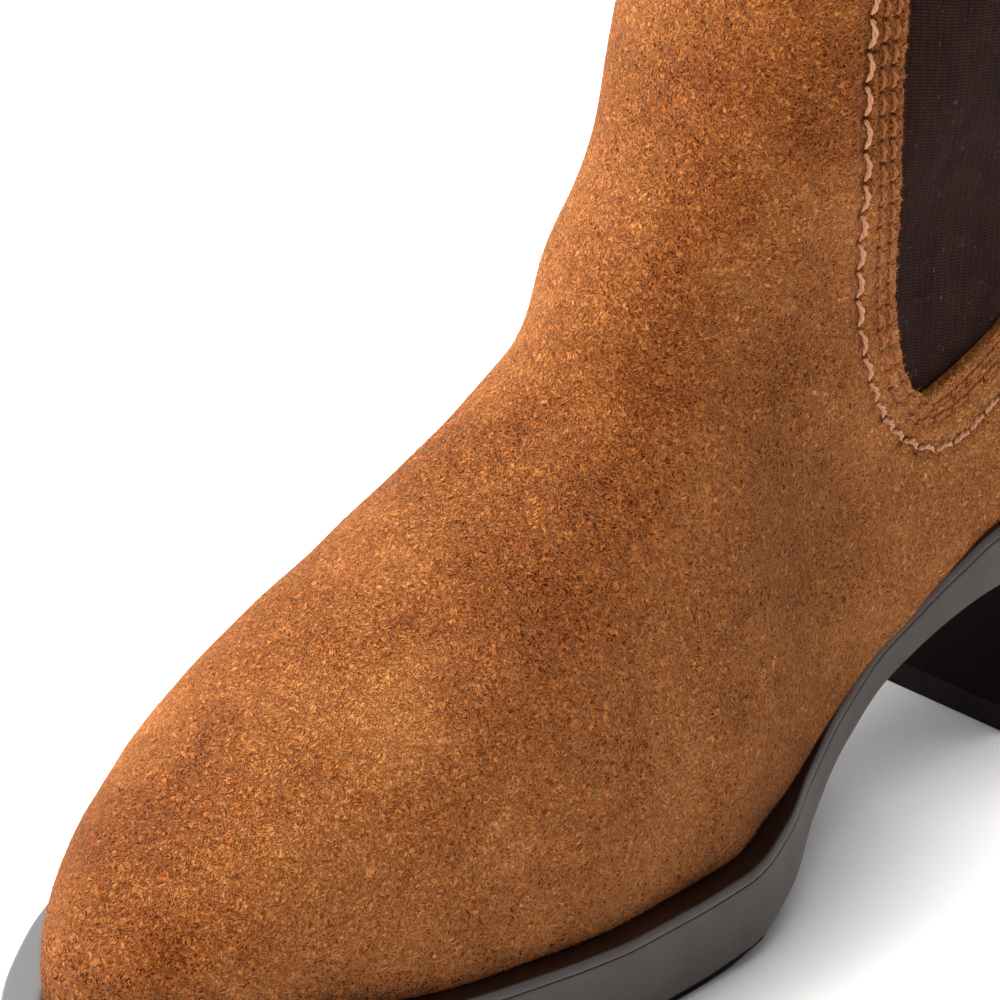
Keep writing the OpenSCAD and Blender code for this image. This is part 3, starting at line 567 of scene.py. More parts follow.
def grainy_material(name, light, dark, scale=500, rough=0.85, stretch=None, metal=0.0, bump=0.3):
    m = Mat(name)
    vec = m.co()
    if stretch:
        sc = m.n("Mapping", vector_type="POINT")
        m.put(sc.inputs["Vector"], vec)
        sc.inputs["Scale"].default_value = stretch
        vec = sc.outputs[0]
    a = m.noise(scale, 4, 0.65, 0.3, vec=vec)
    b = m.noise(scale * 0.12, 3, 0.6, vec=vec)
    f = m.math("ADD", m.math("MULTIPLY", a, 0.6), m.math("MULTIPLY", b, 0.4))
    col = m.ramp(f, [(0.32, dark), (0.66, light)])
    return m.set(color=col, rough=m.range(b, 0.3, 0.7, rough - 0.08, min(rough + 0.08, 1.0)), metal=metal,
                 normal=m.bump(a, bump, 0.0003))


SUEDE = suede_material("suede")
SUEDE_STRIP = suede_material("suede_strip", seam=False)
NAP = nap_material()
GORE = gore_material()
THREAD_C = thread_material("thread_contrast", (0.66, 0.330, 0.185), (0.38, 0.165, 0.085))
THREAD_T = thread_material("thread_tonal", (0.42, 0.145, 0.048), (0.20, 0.055, 0.016))
WELT = welt_material()
MIDSOLE = midsole_material()
RUBBER = rubber_material()
HEEL = heel_material()
LINING = leather_material("lining_leather", (0.66, 0.47, 0.29), (0.50, 0.33, 0.19), 0.52)
SOCK = leather_material("sock_leather", (0.60, 0.41, 0.24), (0.42, 0.27, 0.145), 0.46, 420)
WEBBING = webbing_material()
BOARD = grainy_material("insole_board", (0.62, 0.53, 0.38), (0.47, 0.38, 0.26), 700)
FOAM = grainy_material("foam", (0.86, 0.82, 0.70), (0.70, 0.65, 0.52), 1300, 0.95, bump=0.6)
CORK = grainy_material("cork", (0.55, 0.36, 0.19), (0.26, 0.15, 0.07), 480, 0.9, bump=0.6)
STIFFENER = grainy_material("stiffener", (0.74, 0.70, 0.60), (0.58, 0.53, 0.43), 900, 0.8)
STEEL = grainy_material("steel", (0.62, 0.63, 0.65), (0.44, 0.45, 0.47), 260, 0.34, stretch=(1, 0.05, 1), metal=1.0, bump=0.12)


# ------------------------------------------------------------------ sewing rows round the gore, [y, z]
ROW_OUTER = [(-95.4, 178), (-96.5, 168), (-98, 156.5), (-99, 148), (-99.6, 138), (-99.6, 128), (-98.6, 116), (-97.4, 104),
             (-95.6, 94), (-92, 84), (-87.8, 77.6), (-83.5, 73), (-79, 69.7), (-74, 68.2), (-68.5, 68.8), (-63, 71),
             (-56, 74.2), (-49, 78.5), (-42, 84.4), (-36, 91.5), (-31.6, 100), (-29, 110), (-27.4, 120), (-26.5, 132),
             (-26, 146), (-26, 162), (-26.6, 179)]
ROW_MID = [(-93.6, 178.5), (-94.5, 166), (-95.8, 153), (-96.4, 140), (-95.6, 128), (-94, 116), (-92.6, 104), (-91, 94),
           (-87.6, 84.4), (-83, 78), (-77.2, 74.9), (-70.5, 75.9), (-63, 78.4), (-56.5, 81.4), (-50, 85.8), (-43.8, 91.6),
           (-38.8, 99), (-35.4, 108), (-33.2, 118), (-31.6, 130), (-31, 146), (-31, 162), (-31.8, 179.5)]
ROW_INNER = [(-91.6, 178.5), (-92.4, 166), (-93.8, 153), (-94.3, 140), (-93.2, 128), (-91.4, 116), (-90, 104), (-88.6, 94.6),
             (-85.2, 86), (-81, 80.2), (-76.8, 77.6), (-70.4, 79.2), (-63.6, 81.8), (-57, 85), (-50.4, 89.6), (-44.8, 96),
             (-40.6, 104), (-37.8, 114), (-35.4, 125), (-34, 140), (-33.8, 160), (-34.6, 179.5)]


def spline(points, step):
    """A smooth curve through points, cut into pieces of about step."""
    P = np.array(points, float)
    d = np.r_[0, np.cumsum(np.linalg.norm(np.diff(P, axis=0), axis=1))]
    cs = [Curve(np.c_[d, P[:, k]]) for k in range(P.shape[1])]
    s = np.linspace(0, d[-1], max(2, int(d[-1] / step)))
    return np.stack([c(s) for c in cs], -1)


def row_on_skin(points, side, step=0.3):
    q = spline(points, step)
    p = skin(q[:, 0], q[:, 1], side)
    return p, skin_normal(q[:, 0], q[:, 1], side)


def holes_along(p, pitch):
    """Hole places along a path, as arc lengths; pitch may be a function of the point."""
    s = np.r_[0, np.cumsum(np.linalg.norm(np.diff(p, axis=0), axis=1))]
    at, out = 1.0, []
    while at < s[-1] - 0.5:
        out.append(at)
        i = int(np.searchsorted(s, at))
        at += pitch(p[min(i, len(p) - 1)]) if callable(pitch) else pitch
    return s, np.array(out)


def outer_pitch(q):
    return lerp(4.7, 6.3, float(ease(76, 104, q[2])))


ROWS = []            # (path, normals, arc lengths, holes, kind)
for side in (1, -1):
    for pts, kind, pitch in ((ROW_OUTER, "contrast", outer_pitch), (ROW_MID, "tonal", 4.6), (ROW_INNER, "tonal", 4.6)):
        p, n = row_on_skin(pts, side)
        s, h = holes_along(p, pitch)
        ROWS.append((p, n, s, h, kind, side))


def at_arc(p, s, x):
    return np.stack([np.interp(x, s, p[:, k]) for k in range(3)], -1)


# collar rows: in front of the gores over the instep, and behind them
def collar_front():
    out = []
    for side in (1, -1):
        u = np.linspace(1, 0, 60) if side > 0 else np.linspace(0, 1, 60)[1:]
        q = 1 - np.cos(u * np.pi / 2)
        y = FRONT(COLLAR_H) + (GORE_F(COLLAR_H) - 0.8 - FRONT(COLLAR_H)) * q
        z = COLLAR(y) - 3.2
        y = FRONT(z) + (GORE_F(z) - 0.8 - FRONT(z)) * q
        out.append(np.where((q > 0)[:, None], skin(y, z, side), np.stack([axis_x(y, z), y, z], -1)))
    return np.concatenate(out)


def collar_back(side):
    u = np.linspace(1, 0.47, 40)
    q = 1 - np.cos(u * np.pi / 2)
    y = BACK(COLLAR_H) + (GORE_R(COLLAR_H) + 0.8 - BACK(COLLAR_H)) * q
    return skin(y, COLLAR(y) - 3.2, side)


def surface_normals_of(p):
    """Outward normals for points near the skin, level with the floor enough for the collar."""
    t = np.gradient(p, axis=0)
    n = np.cross(t, np.tile([0.0, 0.0, 1.0], (len(p), 1)))
    n /= np.maximum(np.linalg.norm(n, axis=1, keepdims=True), 1e-9)
    c = np.array([0.0, -60.0, 0.0])
    flip = np.sign(((p - c)[:, :2] * n[:, :2]).sum(1))
    return n * flip[:, None]


for path in (collar_front(), collar_back(1), collar_back(-1)):
    n = surface_normals_of(path)
    s, h = holes_along(path, 4.6)
    ROWS.append((path, n, s, h, "collar", 0))

ROW_PTS = np.concatenate([r[0][::2] for r in ROWS])
ROW_DEPTH = np.concatenate([np.full(len(r[0][::2]), 0.42 if r[4] == "contrast" else 0.30) for r in ROWS])
HOLES = np.concatenate([at_arc(r[0], r[2], r[3]) for r in ROWS])
HOLE_SIZE = np.concatenate([np.full(len(r[3]), 1.0 if r[4] == "contrast" else 0.6) for r in ROWS])


def nearest(p, q, chunk=4000):
    """For each point of p, the distance to the nearest of q and which one it is."""
    p2 = p.reshape(-1, 3)
    d, k = np.empty(len(p2)), np.empty(len(p2), int)
    qq = (q * q).sum(1)
    for i in range(0, len(p2), chunk):
        a = p2[i:i + chunk]
        D = (a * a).sum(1)[:, None] + qq[None] - 2 * a @ q.T
        k[i:i + chunk] = D.argmin(1)
        d[i:i + chunk] = np.sqrt(np.maximum(D.min(1), 0))
    return d.reshape(p.shape[:-1]), k.reshape(p.shape[:-1])


def sewn(p):
    """Depth of the sewn channels and needle holes at p, in mm, and the painted shade that darkens them."""
    d, k = nearest(p, ROW_PTS)
    dh, kh = nearest(p, HOLES)
    channel = ROW_DEPTH[k] * np.exp(-((d / 1.15) ** 2))
    pillow = -0.24 * np.exp(-(((d - 2.1) / 1.1) ** 2))
    hole = HOLE_SIZE[kh] * np.exp(-((dh / 0.75) ** 2))
    # the second value is painted shade: darker along the channels and in the needle holes
    return channel + pillow + 0.75 * hole, 0.05 * np.exp(-((d / 1.1) ** 2)) + 0.40 * hole


def join(parts):
    V, F, k = [], [], 0
    for v, f in parts:
        V.append(v)
        F += [tuple(i + k for i in q) for q in f]
        k += len(v)
    return np.concatenate(V), F


# ------------------------------------------------------------------ the suede upper
def qz(s):
    return 1 - np.cos(s * np.pi / 2)


def columns(nf1, nf2, ng, nr2, nr1):
    """Columns of one side from the toe to the heel: zone 0 in front of the gore, 1 along it, 2 behind it, and a fraction."""
    s1 = math.acos(1 - 0.66) / (math.pi / 2)
    qf = np.r_[qz(np.linspace(0, s1, nf1 + 1))[:-1], np.linspace(0.66, 1, nf2 + 1)]
    t = np.linspace(0, 1, ng + 1)[1:]
    qr = np.r_[np.linspace(1, 0.55, nr2 + 1)[1:], qz(np.linspace(math.acos(1 - 0.55) / (math.pi / 2), 0, nr1 + 1))[1:]]
    zone = np.r_[np.zeros(len(qf)), np.ones(len(t)), np.full(len(qr), 2)].astype(int)
    return zone, np.r_[qf, t, qr]


def column_y(zone, f, z, w, above):
    a = GORE_F(z) if above else GUIDE(z)
    z0 = np.where(zone == 0, TIP_Z, np.where(zone == 1, GORE_B(lerp(TIP_Y, HEEL_Y, f)), HEEL_Z))
    a0 = GORE_F(z0) if above else GUIDE(z0)
    yf = FRONT(z) + (a - FRONT(z)) * f
    yg = lerp(a, GORE_R(z), f) + (1 - w if above else w) * (lerp(TIP_Y, HEEL_Y, f) - lerp(a0, GORE_R(z0), f))
    yr = BACK(z) - (BACK(z) - GORE_R(z)) * f
    return np.where(zone == 0, yf, np.where(zone == 1, yg, yr))


def surface_grid(cols, wa, wb, lift):
    """Points of the whole closed surface: rings wa below the gore's lower edge and wb above it."""
    zone, f = cols
    n = len(zone)
    foot = np.where(zone == 0, lerp(-271.5, -100, f), np.where(zone == 1, lerp(-100, -40, f), -2 - 38 * f))
    y1 = column_y(zone, f, deck(foot) + lift, 0.0, False)
    z_lo = deck(y1) + lift
    z0 = np.where(zone == 0, TIP_Z, np.where(zone == 1, GORE_B(lerp(TIP_Y, HEEL_Y, f)), HEEL_Z))
    z_hi = COLLAR(column_y(zone, f, np.full(n, COLLAR_H), 1.0, True))
    Y, Z = [], []
    for w in wa:
        z = lerp(z_lo, z0, w)
        Y.append(column_y(zone, f, z, w, False)), Z.append(z)
    for w in wb[1:]:
        z = lerp(z0, z_hi, w)
        Y.append(column_y(zone, f, z, w, True)), Z.append(z)
    Y, Z = np.array(Y), np.array(Z)
    # round the loop: lateral from toe to heel, then medial back to the toe
    order = np.r_[np.arange(n), np.arange(n - 2, 0, -1)]
    side = np.r_[np.ones(n), -np.ones(n - 2)]
    y, z = Y[:, order], Z[:, order]
    x = skin_x(y, z, side[None] + 0 * y)
    mid = (order == 0) | (order == n - 1)
    x[:, mid] = axis_x(y[:, mid], z[:, mid])
    return np.stack([x, y, z], -1), order, side


COLS = columns(32, 18, 44, 16, 18)
WA = np.r_[np.linspace(0, 0.12, 5)[:-1], np.linspace(0.12, 0.74, 20), np.linspace(0.74, 1, 19)[1:]]
WB = np.linspace(0, 1, 122)
G, ORDER, SIDE = surface_grid(COLS, WA, WB, 0.25)
NC = G.shape[1]
N = grid_normals(G)
NA = len(WA) - 1
zone_c = COLS[0][ORDER]
# dark holds the painted shade of the sewn channels and needle holes, fed into the tone attribute below
depth, dark = sewn(G)
# distance to the gore's edge and the collar, for the raw edges
ZN = COLS[0]
edge_cells = np.zeros((G.shape[0] - 1, NC), bool)
nxt = np.roll(ORDER, -1)
n_front = int((ZN == 0).sum()) - 1                 # index of the column on the gore's front edge
n_rear = n_front + int((ZN == 1).sum())            # index of the column on its rear edge
in_gore = np.minimum(ORDER, nxt) >= n_front
in_gore &= np.maximum(ORDER, nxt) <= n_rear
mask = np.ones((G.shape[0] - 1, NC), bool)
mask[NA:, in_gore] = False
rim_pts = np.concatenate([G[NA:, ORDER == n_front].reshape(-1, 3), G[NA:, ORDER == n_rear].reshape(-1, 3),
                          G[NA, (ORDER >= n_front) & (ORDER <= n_rear)].reshape(-1, 3)])
d_rim, _ = nearest(G, rim_pts)
top = G[-1]
d_top = np.linalg.norm(G - top[None], axis=-1)
d_edge = np.minimum(d_rim, d_top)
rounding = 0.55 * np.clip(1 - d_edge / 1.5, 0, 1) ** 2
out = G + N * (relief(G) - depth - rounding)[..., None]
# the cut edge wanders a little, as a knife leaves it
jit = RNG.normal(size=G.shape) * 0.13
on_rim = (d_rim < 0.05) | (d_top < 0.05)
out = out + np.where(on_rim[..., None], jit, 0)
inner = G - N * SUEDE_T + N * (0.25 * relief(G))[..., None]
# the lower edge turns 7 mm inwards under the insole board
flat = N[0] * [1, 1, 0]
flat /= np.maximum(np.linalg.norm(flat, axis=1, keepdims=True), 1e-9)
turn = G[0] - 7 * flat
turn[:, 2] = deck(turn[:, 1]) + 0.25
out = np.concatenate([turn[None], out])
inner[0] = np.stack([inner[0][:, 0], inner[0][:, 1], G[0][:, 2] + SUEDE_T], -1)
inner = np.concatenate([(turn + [0, 0, SUEDE_T])[None], inner])
mask = np.concatenate([np.ones((1, NC), bool), mask])
above = G[..., 2] - deck(G[..., 1])
# painted shade with some grime: the suede is darker towards the welt, strongest on the forefoot and in a narrow band at
# the join
welt_shade_and_grime = 0.17 * np.exp(-((above / 13.0) ** 2)) * ease(-90, -140, G[..., 1]) + 0.10 * np.exp(-((above / 3.0) ** 2))
tone = np.concatenate([np.zeros((1, NC)), -dark - welt_shade_and_grime + 0.05 * np.exp(-((d_edge / 1.2) ** 2))])
F, rim = shell_faces(mask, NC)
V = np.concatenate([out.reshape(-1, 3), inner.reshape(-1, 3)])
T = np.concatenate([tone.ravel(), tone.ravel() * 0])
V, F, (T,), _ = compact(V, F, (T,))
UPPER = mesh_object("suede_upper", V, F, SUEDE, sharp=55, stands_for=("upper",), attrs={"tone": T})
print("upper", len(V), len(F))


# ------------------------------------------------------------------ loose fibres of the nap, thin closed spikes that lean over
def spikes(base, nrm, lean, length, radius):
    t = lean - nrm * (lean * nrm).sum(1, keepdims=True)
    t /= np.maximum(np.linalg.norm(t, axis=1, keepdims=True), 1e-9)
    b = np.cross(nrm, t)
    rise = RNG.uniform(0.4, 1.7, (len(base), 1))
    d = t + nrm * rise
    d /= np.linalg.norm(d, axis=1, keepdims=True)
    e = np.cross(d, b)
    ang = [0.0, 2 * np.pi / 3, 4 * np.pi / 3]
    foot = base - nrm * 0.12
    pts = [foot + (math.cos(q) * b + math.sin(q) * e) * radius[:, None] for q in ang] + [foot + d * length[:, None]]
    V = np.stack(pts, 1).reshape(-1, 3)
    k = 4 * np.arange(len(base))[:, None]
    F = np.concatenate([k + [[0, 1, 3]], k + [[1, 2, 3]], k + [[2, 0, 3]], k + [[2, 1, 0]]])
    return V, [tuple(q) for q in F]


A, B, C, D = out[1:-1], np.roll(out, -1, 1)[1:-1], np.roll(out, -1, 1)[2:], out[2:]
cross = np.cross(C - A, D - B)
area = np.linalg.norm(cross, axis=2) * 0.5 * mask[1:]
face_n = -cross / np.maximum(np.linalg.norm(cross, axis=2, keepdims=True), 1e-9)
face_n *= np.sign((face_n * N[:-1]).sum(2, keepdims=True))
pick = RNG.choice(area.size, 43000, p=(area / area.sum()).ravel())
uv = RNG.uniform(0, 1, (len(pick), 2))
flat4 = [q.reshape(-1, 3)[pick] for q in (A, B, C, D)]
foot = lerp(lerp(flat4[0], flat4[1], uv[:, :1]), lerp(flat4[3], flat4[2], uv[:, :1]), uv[:, 1:])
nrm = face_n.reshape(-1, 3)[pick]
brushed = np.stack([0.7 * np.sin(foot[:, 1] / 23 + foot[:, 2] / 31), -0.6 + 0.8 * np.sin(foot[:, 2] / 17 + foot[:, 0] / 19), -0.8 + 0.7 * np.sin(foot[:, 1] / 29)], -1)
lean = brushed + RNG.normal(size=brushed.shape) * 0.75
Vn, Fn = spikes(foot, nrm, lean, RNG.uniform(0.45, 1.1, len(foot)), RNG.uniform(0.035, 0.068, len(foot)))
# a denser fringe where the hide meets the welt and along the raw edges by the gores
low = out[1:3, :, :]
c = RNG.integers(0, NC, 2800)
f = RNG.uniform(0, 1, (len(c), 1))
fringe = lerp(lerp(low[0][c], low[0][(c + 1) % NC], f), low[1][c], RNG.uniform(0, 0.25, (len(c), 1)))
fn = N[0][c]
Vf, Ff = spikes(fringe, fn, np.tile([0.0, 0.0, -1.0], (len(c), 1)) + RNG.normal(size=(len(c), 3)) * 0.35, RNG.uniform(0.4, 0.9, len(c)), RNG.uniform(0.05, 0.09, len(c)))
near = np.argwhere((d_rim < 0.05) & (np.arange(G.shape[0])[:, None] >= NA))
pk = near[RNG.integers(0, len(near), 2800)]
rim_p = out[1:][pk[:, 0], pk[:, 1]] + RNG.normal(size=(len(pk), 3)) * [0.05, 0.25, 0.25]
rim_n = N[pk[:, 0], pk[:, 1]]
middle = np.stack([rim_p[:, 0], -62 + 0 * rim_p[:, 1], np.maximum(rim_p[:, 2], 118)], -1)
Vr, Fr = spikes(rim_p - rim_n * 0.25, rim_n, (middle - rim_p) / 30 + RNG.normal(size=rim_p.shape) * 0.45, RNG.uniform(0.35, 0.8, len(pk)), RNG.uniform(0.05, 0.09, len(pk)))
V, F = join([(Vn, Fn), (Vf, Ff), (Vr, Fr)])
mesh_object("suede_nap", V, F, NAP, smooth=False)


# ------------------------------------------------------------------ threads
def tube(path, r, k, ref=None):
    """A closed tube of k sides along path with radius r at each point."""
    path = np.asarray(path, float)
    n = len(path)
    t = np.gradient(path, axis=0)
    t /= np.maximum(np.linalg.norm(t, axis=1, keepdims=True), 1e-9)
    ref = np.array([0, 0, 1.0]) if ref is None else np.asarray(ref, float)
    a = np.cross(t, ref)
    a /= np.maximum(np.linalg.norm(a, axis=1, keepdims=True), 1e-9)
    b = np.cross(t, a)
    ang = np.arange(k) * 2 * np.pi / k
    ring = np.cos(ang)[None, :, None] * a[:, None] + np.sin(ang)[None, :, None] * b[:, None]
    V = (path[:, None] + ring * np.asarray(r)[:, None, None]).reshape(-1, 3)
    V = np.concatenate([V, path[:1], path[-1:]])
    F = [(i * k + j, i * k + (j + 1) % k, (i + 1) * k + (j + 1) % k, (i + 1) * k + j) for i in range(n - 1) for j in range(k)]
    F += [(j, n * k, (j + 1) % k) for j in range(k)] + [((n - 1) * k + (j + 1) % k, n * k + 1, (n - 1) * k + j) for j in range(k)]
    return V, F


def stitch(a, b, na, nb, r, plump, slew, turns, k=6, m=12):
    """One stitch from hole a to hole b: two plies twisted round each other, arched off the leather."""
    t = np.linspace(0.035, 0.965, m)
    n = lerp(na, nb, t[:, None])
    n /= np.linalg.norm(n, axis=1, keepdims=True)
    along = (b - a) / np.linalg.norm(b - a)
    sidev = np.cross(n, along)
    arch = np.sin(np.pi * t) ** 0.55
    mid = lerp(a, b, t[:, None]) + n * (plump * arch - 0.55)[:, None] + sidev * (slew * np.sin(np.pi * t))[:, None]
    fat = (0.42 + 0.58 * np.sin(np.pi * t) ** 0.5)
    parts = []
    for ph in (0.0, np.pi):
        ang = turns * 2 * np.pi * t + ph + 0.6
        c = mid + (np.cos(ang)[:, None] * n + np.sin(ang)[:, None] * sidev) * (r * 0.46 * fat)[:, None]
        parts.append(tube(c, r * 0.62 * fat, k, ref=n.mean(0)))
    return parts


def sew(rows, lift, r, plump, slew, turns, k, m):
    parts = []
    for p, n, s, h, kind, side in rows:
        base = p + n * (relief(p) + lift)[:, None]
        for i in range(len(h) - 1):
            x0, x1 = h[i] + 0.25, h[i + 1] - 0.25
            a, b = at_arc(base, s, x0), at_arc(base, s, x1)
            na, nb = at_arc(n, s, x0), at_arc(n, s, x1)
            jig = RNG.uniform(-1, 1, 3)
            sl = (slew + 0.07 * jig[0]) * (side if side else 1)
            parts += stitch(a, b, na, nb, r * (1 + 0.06 * jig[1]), plump + 0.06 * jig[2], sl, turns, k, m)
    return join(parts)


for side, label in ((1, "lateral"), (-1, "medial")):
    V, F = sew([r for r in ROWS if r[4] == "contrast" and r[5] == side], 0.16, 0.56, 0.58, 0.85, 1.35, 7, 14)
    ob = mesh_object("gore_thread_contrast_" + label, V, F, THREAD_C, stands_for=("gore_stitching_" + label,))
    V, F = sew([r for r in ROWS if r[4] == "tonal" and r[5] == side], 0.14, 0.50, 0.46, 0.55, 1.2, 6, 10)
    mesh_object("gore_thread_tonal_" + label, V, F, THREAD_T)
V, F = sew([r for r in ROWS if r[4] == "collar"], 0.18, 0.42, 0.42, 0.12, 1.1, 6, 9)
mesh_object("collar_thread", V, F, THREAD_T, stands_for=("collar_stitching",))


# ------------------------------------------------------------------ elastic gores
def gore_yz(t, w):
    lap = 6.0
    ty = lerp(TIP_Y, HEEL_Y, t)
    z0 = GORE_B(ty) - lap
    y0 = lerp(TIP_Y - lap, HEEL_Y + lap, t)
    top = COLLAR(lerp(-89, -37, t)) - 0.6
    z = lerp(z0, top, w)
    a, b = GORE_F(z) - lap, GORE_R(z) + lap
    a0, b0 = GORE_F(z0) - lap, GORE_R(z0) + lap
    return lerp(a, b, t) + (1 - w) * (y0 - lerp(a0, b0, t)), z


def grid_sheet(A, B):
    """Closed sheet between two open grids of the same size."""
    m, n = A.shape[:2]
    F, _ = shell_faces(np.ones((m - 1, n - 1), bool), n, closed=False)
    return np.concatenate([A.reshape(-1, 3), B.reshape(-1, 3)]), F


for side, label in ((1, "lateral"), (-1, "medial")):
    nu, nv = 264, 66
    t, w = np.meshgrid(np.linspace(0, 1, nu), np.linspace(0, 1, nv))
    y, z = gore_yz(t, w)
    p = skin(y, z, side)
    nn = skin_normal(y, z, side)
    su = np.concatenate([np.zeros((nv, 1)), np.cumsum(np.linalg.norm(np.diff(p, axis=1), axis=2), axis=1)], axis=1)
    su -= np.array([np.interp(-62, y[i], su[i]) for i in range(nv)])[:, None]      # the ribs run straight up from the gore's middle
    sv = np.cumsum(np.r_[[np.zeros(nu)], np.linalg.norm(np.diff(p, axis=0), axis=2)], axis=0)
    rib = 0.035 * np.sin(2 * np.pi * su / 1.84) + 0.02 * np.sin(z * 1.7 + su * 0.4)
    # the elastic draws in a little between its sewn edges
    dm = np.minimum.reduce([(y - GORE_F(z)), (GORE_R(z) - y), (z - GORE_B(np.clip(y, TIP_Y, HEEL_Y))) * 0.8])
    sag = 0.30 * ease(0, 9, dm)
    A = p - nn * (SUEDE_T + 0.12 - rib + sag)[..., None]
    B = p - nn * (SUEDE_T + 0.1 + GORE_T)
    st = np.stack([su, sv, 0 * su], -1).reshape(-1, 3)
    V, F = grid_sheet(A, B) if side > 0 else grid_sheet(A[:, ::-1], B[:, ::-1])
    st = st if side > 0 else np.stack([su, sv, 0 * su], -1)[:, ::-1].reshape(-1, 3)
    mesh_object("elastic_gore_" + label, V, F, GORE, sharp=60, stands_for=("gore_" + label,),
                attrs={"st": np.concatenate([st, st])})


# ------------------------------------------------------------------ linings and sock
LIN_LO = SUEDE_T + 0.5 + 2.0
LC = columns(26, 8, 20, 8, 12)
LG, LORD, LSIDE = surface_grid(LC, np.linspace(0, 1, 26), np.linspace(0, 1, 34), LIN_LO)
LN = grid_normals(LG)
lz, lf = LC[0][LORD], LC[1][LORD]
lzn, lfn = np.roll(lz, -1), np.roll(lf, -1)
l_front = int((LC[0] == 0).sum()) - 1
l_rear = l_front + int((LC[0] == 1).sum())
l_mid = (l_front + l_rear) // 2
lo_k, hi_k = np.minimum(LORD, np.roll(LORD, -1)), np.maximum(LORD, np.roll(LORD, -1))
window = (lo_k >= l_front) & (hi_k <= l_rear)
for name, cols_in, node in (("vamp_lining_leather", hi_k <= l_mid, "vamp_lining"), ("quarter_lining_leather", lo_k >= l_mid, "quarter_lining")):
    lm = np.zeros((LG.shape[0] - 1, LG.shape[1]), bool)
    lm[:, cols_in] = True
    lm[25:, window] = False
    F, _ = shell_faces(lm, LG.shape[1])
    wob = 0.12 * swell(LG * 1.7)[..., None]
    V = np.concatenate([(LG - LN * (SUEDE_T + 1.2)).reshape(-1, 3), (LG - LN * (SUEDE_T + 1.2 + LINING_T + wob)).reshape(-1, 3)])
    V, F, _, _ = compact(V, F)
    mesh_object(name, V, F, LINING, sharp=50, stands_for=(node,))


def stations(a, b, n1=26, n2=90, n3=22, tip=0.02):
    i = np.arange(n1) / n1
    j = np.arange(n3, -1, -1) / n3
    return np.r_[a + tip + 30 * i * i, np.linspace(a + tip + 30, b - tip - 20, n2), (b - tip - 20 * j * j)[1:]]


def stack(levels):
    """A closed solid through outlines: each level is (lateral points, medial points), front to back."""
    n = len(levels[0][0])
    P, F = [], []
    for la, me in levels:
        P += [la, me[::-1]]
    m, L = 2 * n, len(levels)
    top = (L - 1) * m
    for i in range(n - 1):
        F.append((i, m - 1 - i, m - 2 - i, i + 1))
        F.append((top + i, top + i + 1, top + m - 2 - i, top + m - 1 - i))
    for k in range(L - 1):
        for j in range(m):
            a, b = k * m + j, k * m + (j + 1) % m
            F.append((a, b, b + m, a + m))
    return np.concatenate(P), F


def sole_level(S, s, z):
    z = z + 0 * S
    return (np.stack([sole_x(S, s, 1), S, z], -1), np.stack([sole_x(S, s, -1), S, z], -1))


def body_level(S, s, h):
    zz = deck(S) + 2
    return (np.stack([skin_x(S, zz, 1, s), S, deck(S) + h], -1), np.stack([skin_x(S, zz, -1, s), S, deck(S) + h], -1))


S = stations(-264.5, -6.6)
INS = SUEDE_T + 0.5
V, F = stack([body_level(S, 5.5, INS + 3.6), body_level(S, 5.2, INS + 3.9), body_level(S, 5.2, INS + 4.5), body_level(S, 5.6, INS + 4.8)])
mesh_object("sock_leather", V, F, SOCK, sharp=60, stands_for=("sock_lining",))

# ------------------------------------------------------------------ sole: midsole, welt, tread
S = stations(-279.4, -0.6, 40, 150, 34)
tread_at = TREAD_T * (1 - ease(-150, -126, S))
low = UNDER(S) + tread_at + 0.05
high = deck(S) - WELT_T - 0.06
V, F = stack([sole_level(S, 1.5, low), sole_level(S, 0.75, low + 0.22), sole_level(S, 0.25, low + 0.75), sole_level(S, 0.08, low + 1.5),
              sole_level(S, 0.0, lerp(low, high, 0.42)), sole_level(S, 0.02, high - 0.8), sole_level(S, 0.05, high - 0.3),
              sole_level(S, 0.16, high - 0.08), sole_level(S, 0.32, high)])
mesh_object("midsole_shaped", V, F, MIDSOLE, sharp=48, stands_for=("midsole",))

S = stations(-279.2, -0.8, 40, 150, 34)
Tn = np.where(S < -249, lerp(-265.9, -249, (S + 279.2) / 30.2), np.where(S > -21, lerp(-21, -14.1, (S + 21) / 20.2), S))


def ring(S, s, h):
    la, me = sole_level(S, s, deck(S) + h)
    return np.concatenate([la, me[::-1]])


W = [ring(Tn, 14, -WELT_T), ring(S, 0.30, -WELT_T), ring(S, 0.16, -1.44), ring(S, 0.22, -1.05), ring(S, 0.62, -0.42),
     ring(S, 0.86, -0.13), ring(S, 1.08, -0.03), ring(S, 1.5, 0.0), ring(S, 2.2, 0.0), ring(Tn, 14, 0.0)]
m = len(W[0])
F = [(k * m + j, k * m + (j + 1) % m, ((k + 1) % len(W)) * m + (j + 1) % m, ((k + 1) % len(W)) * m + j) for k in range(len(W)) for j in range(m)]
mesh_object("welt_ring", np.concatenate(W), F, WELT, sharp=50, stands_for=("welt",),
            attrs={"top": np.repeat([0, 0, 0, 0, 0, 0.2, 0.8, 1, 1, 1.0], m)})

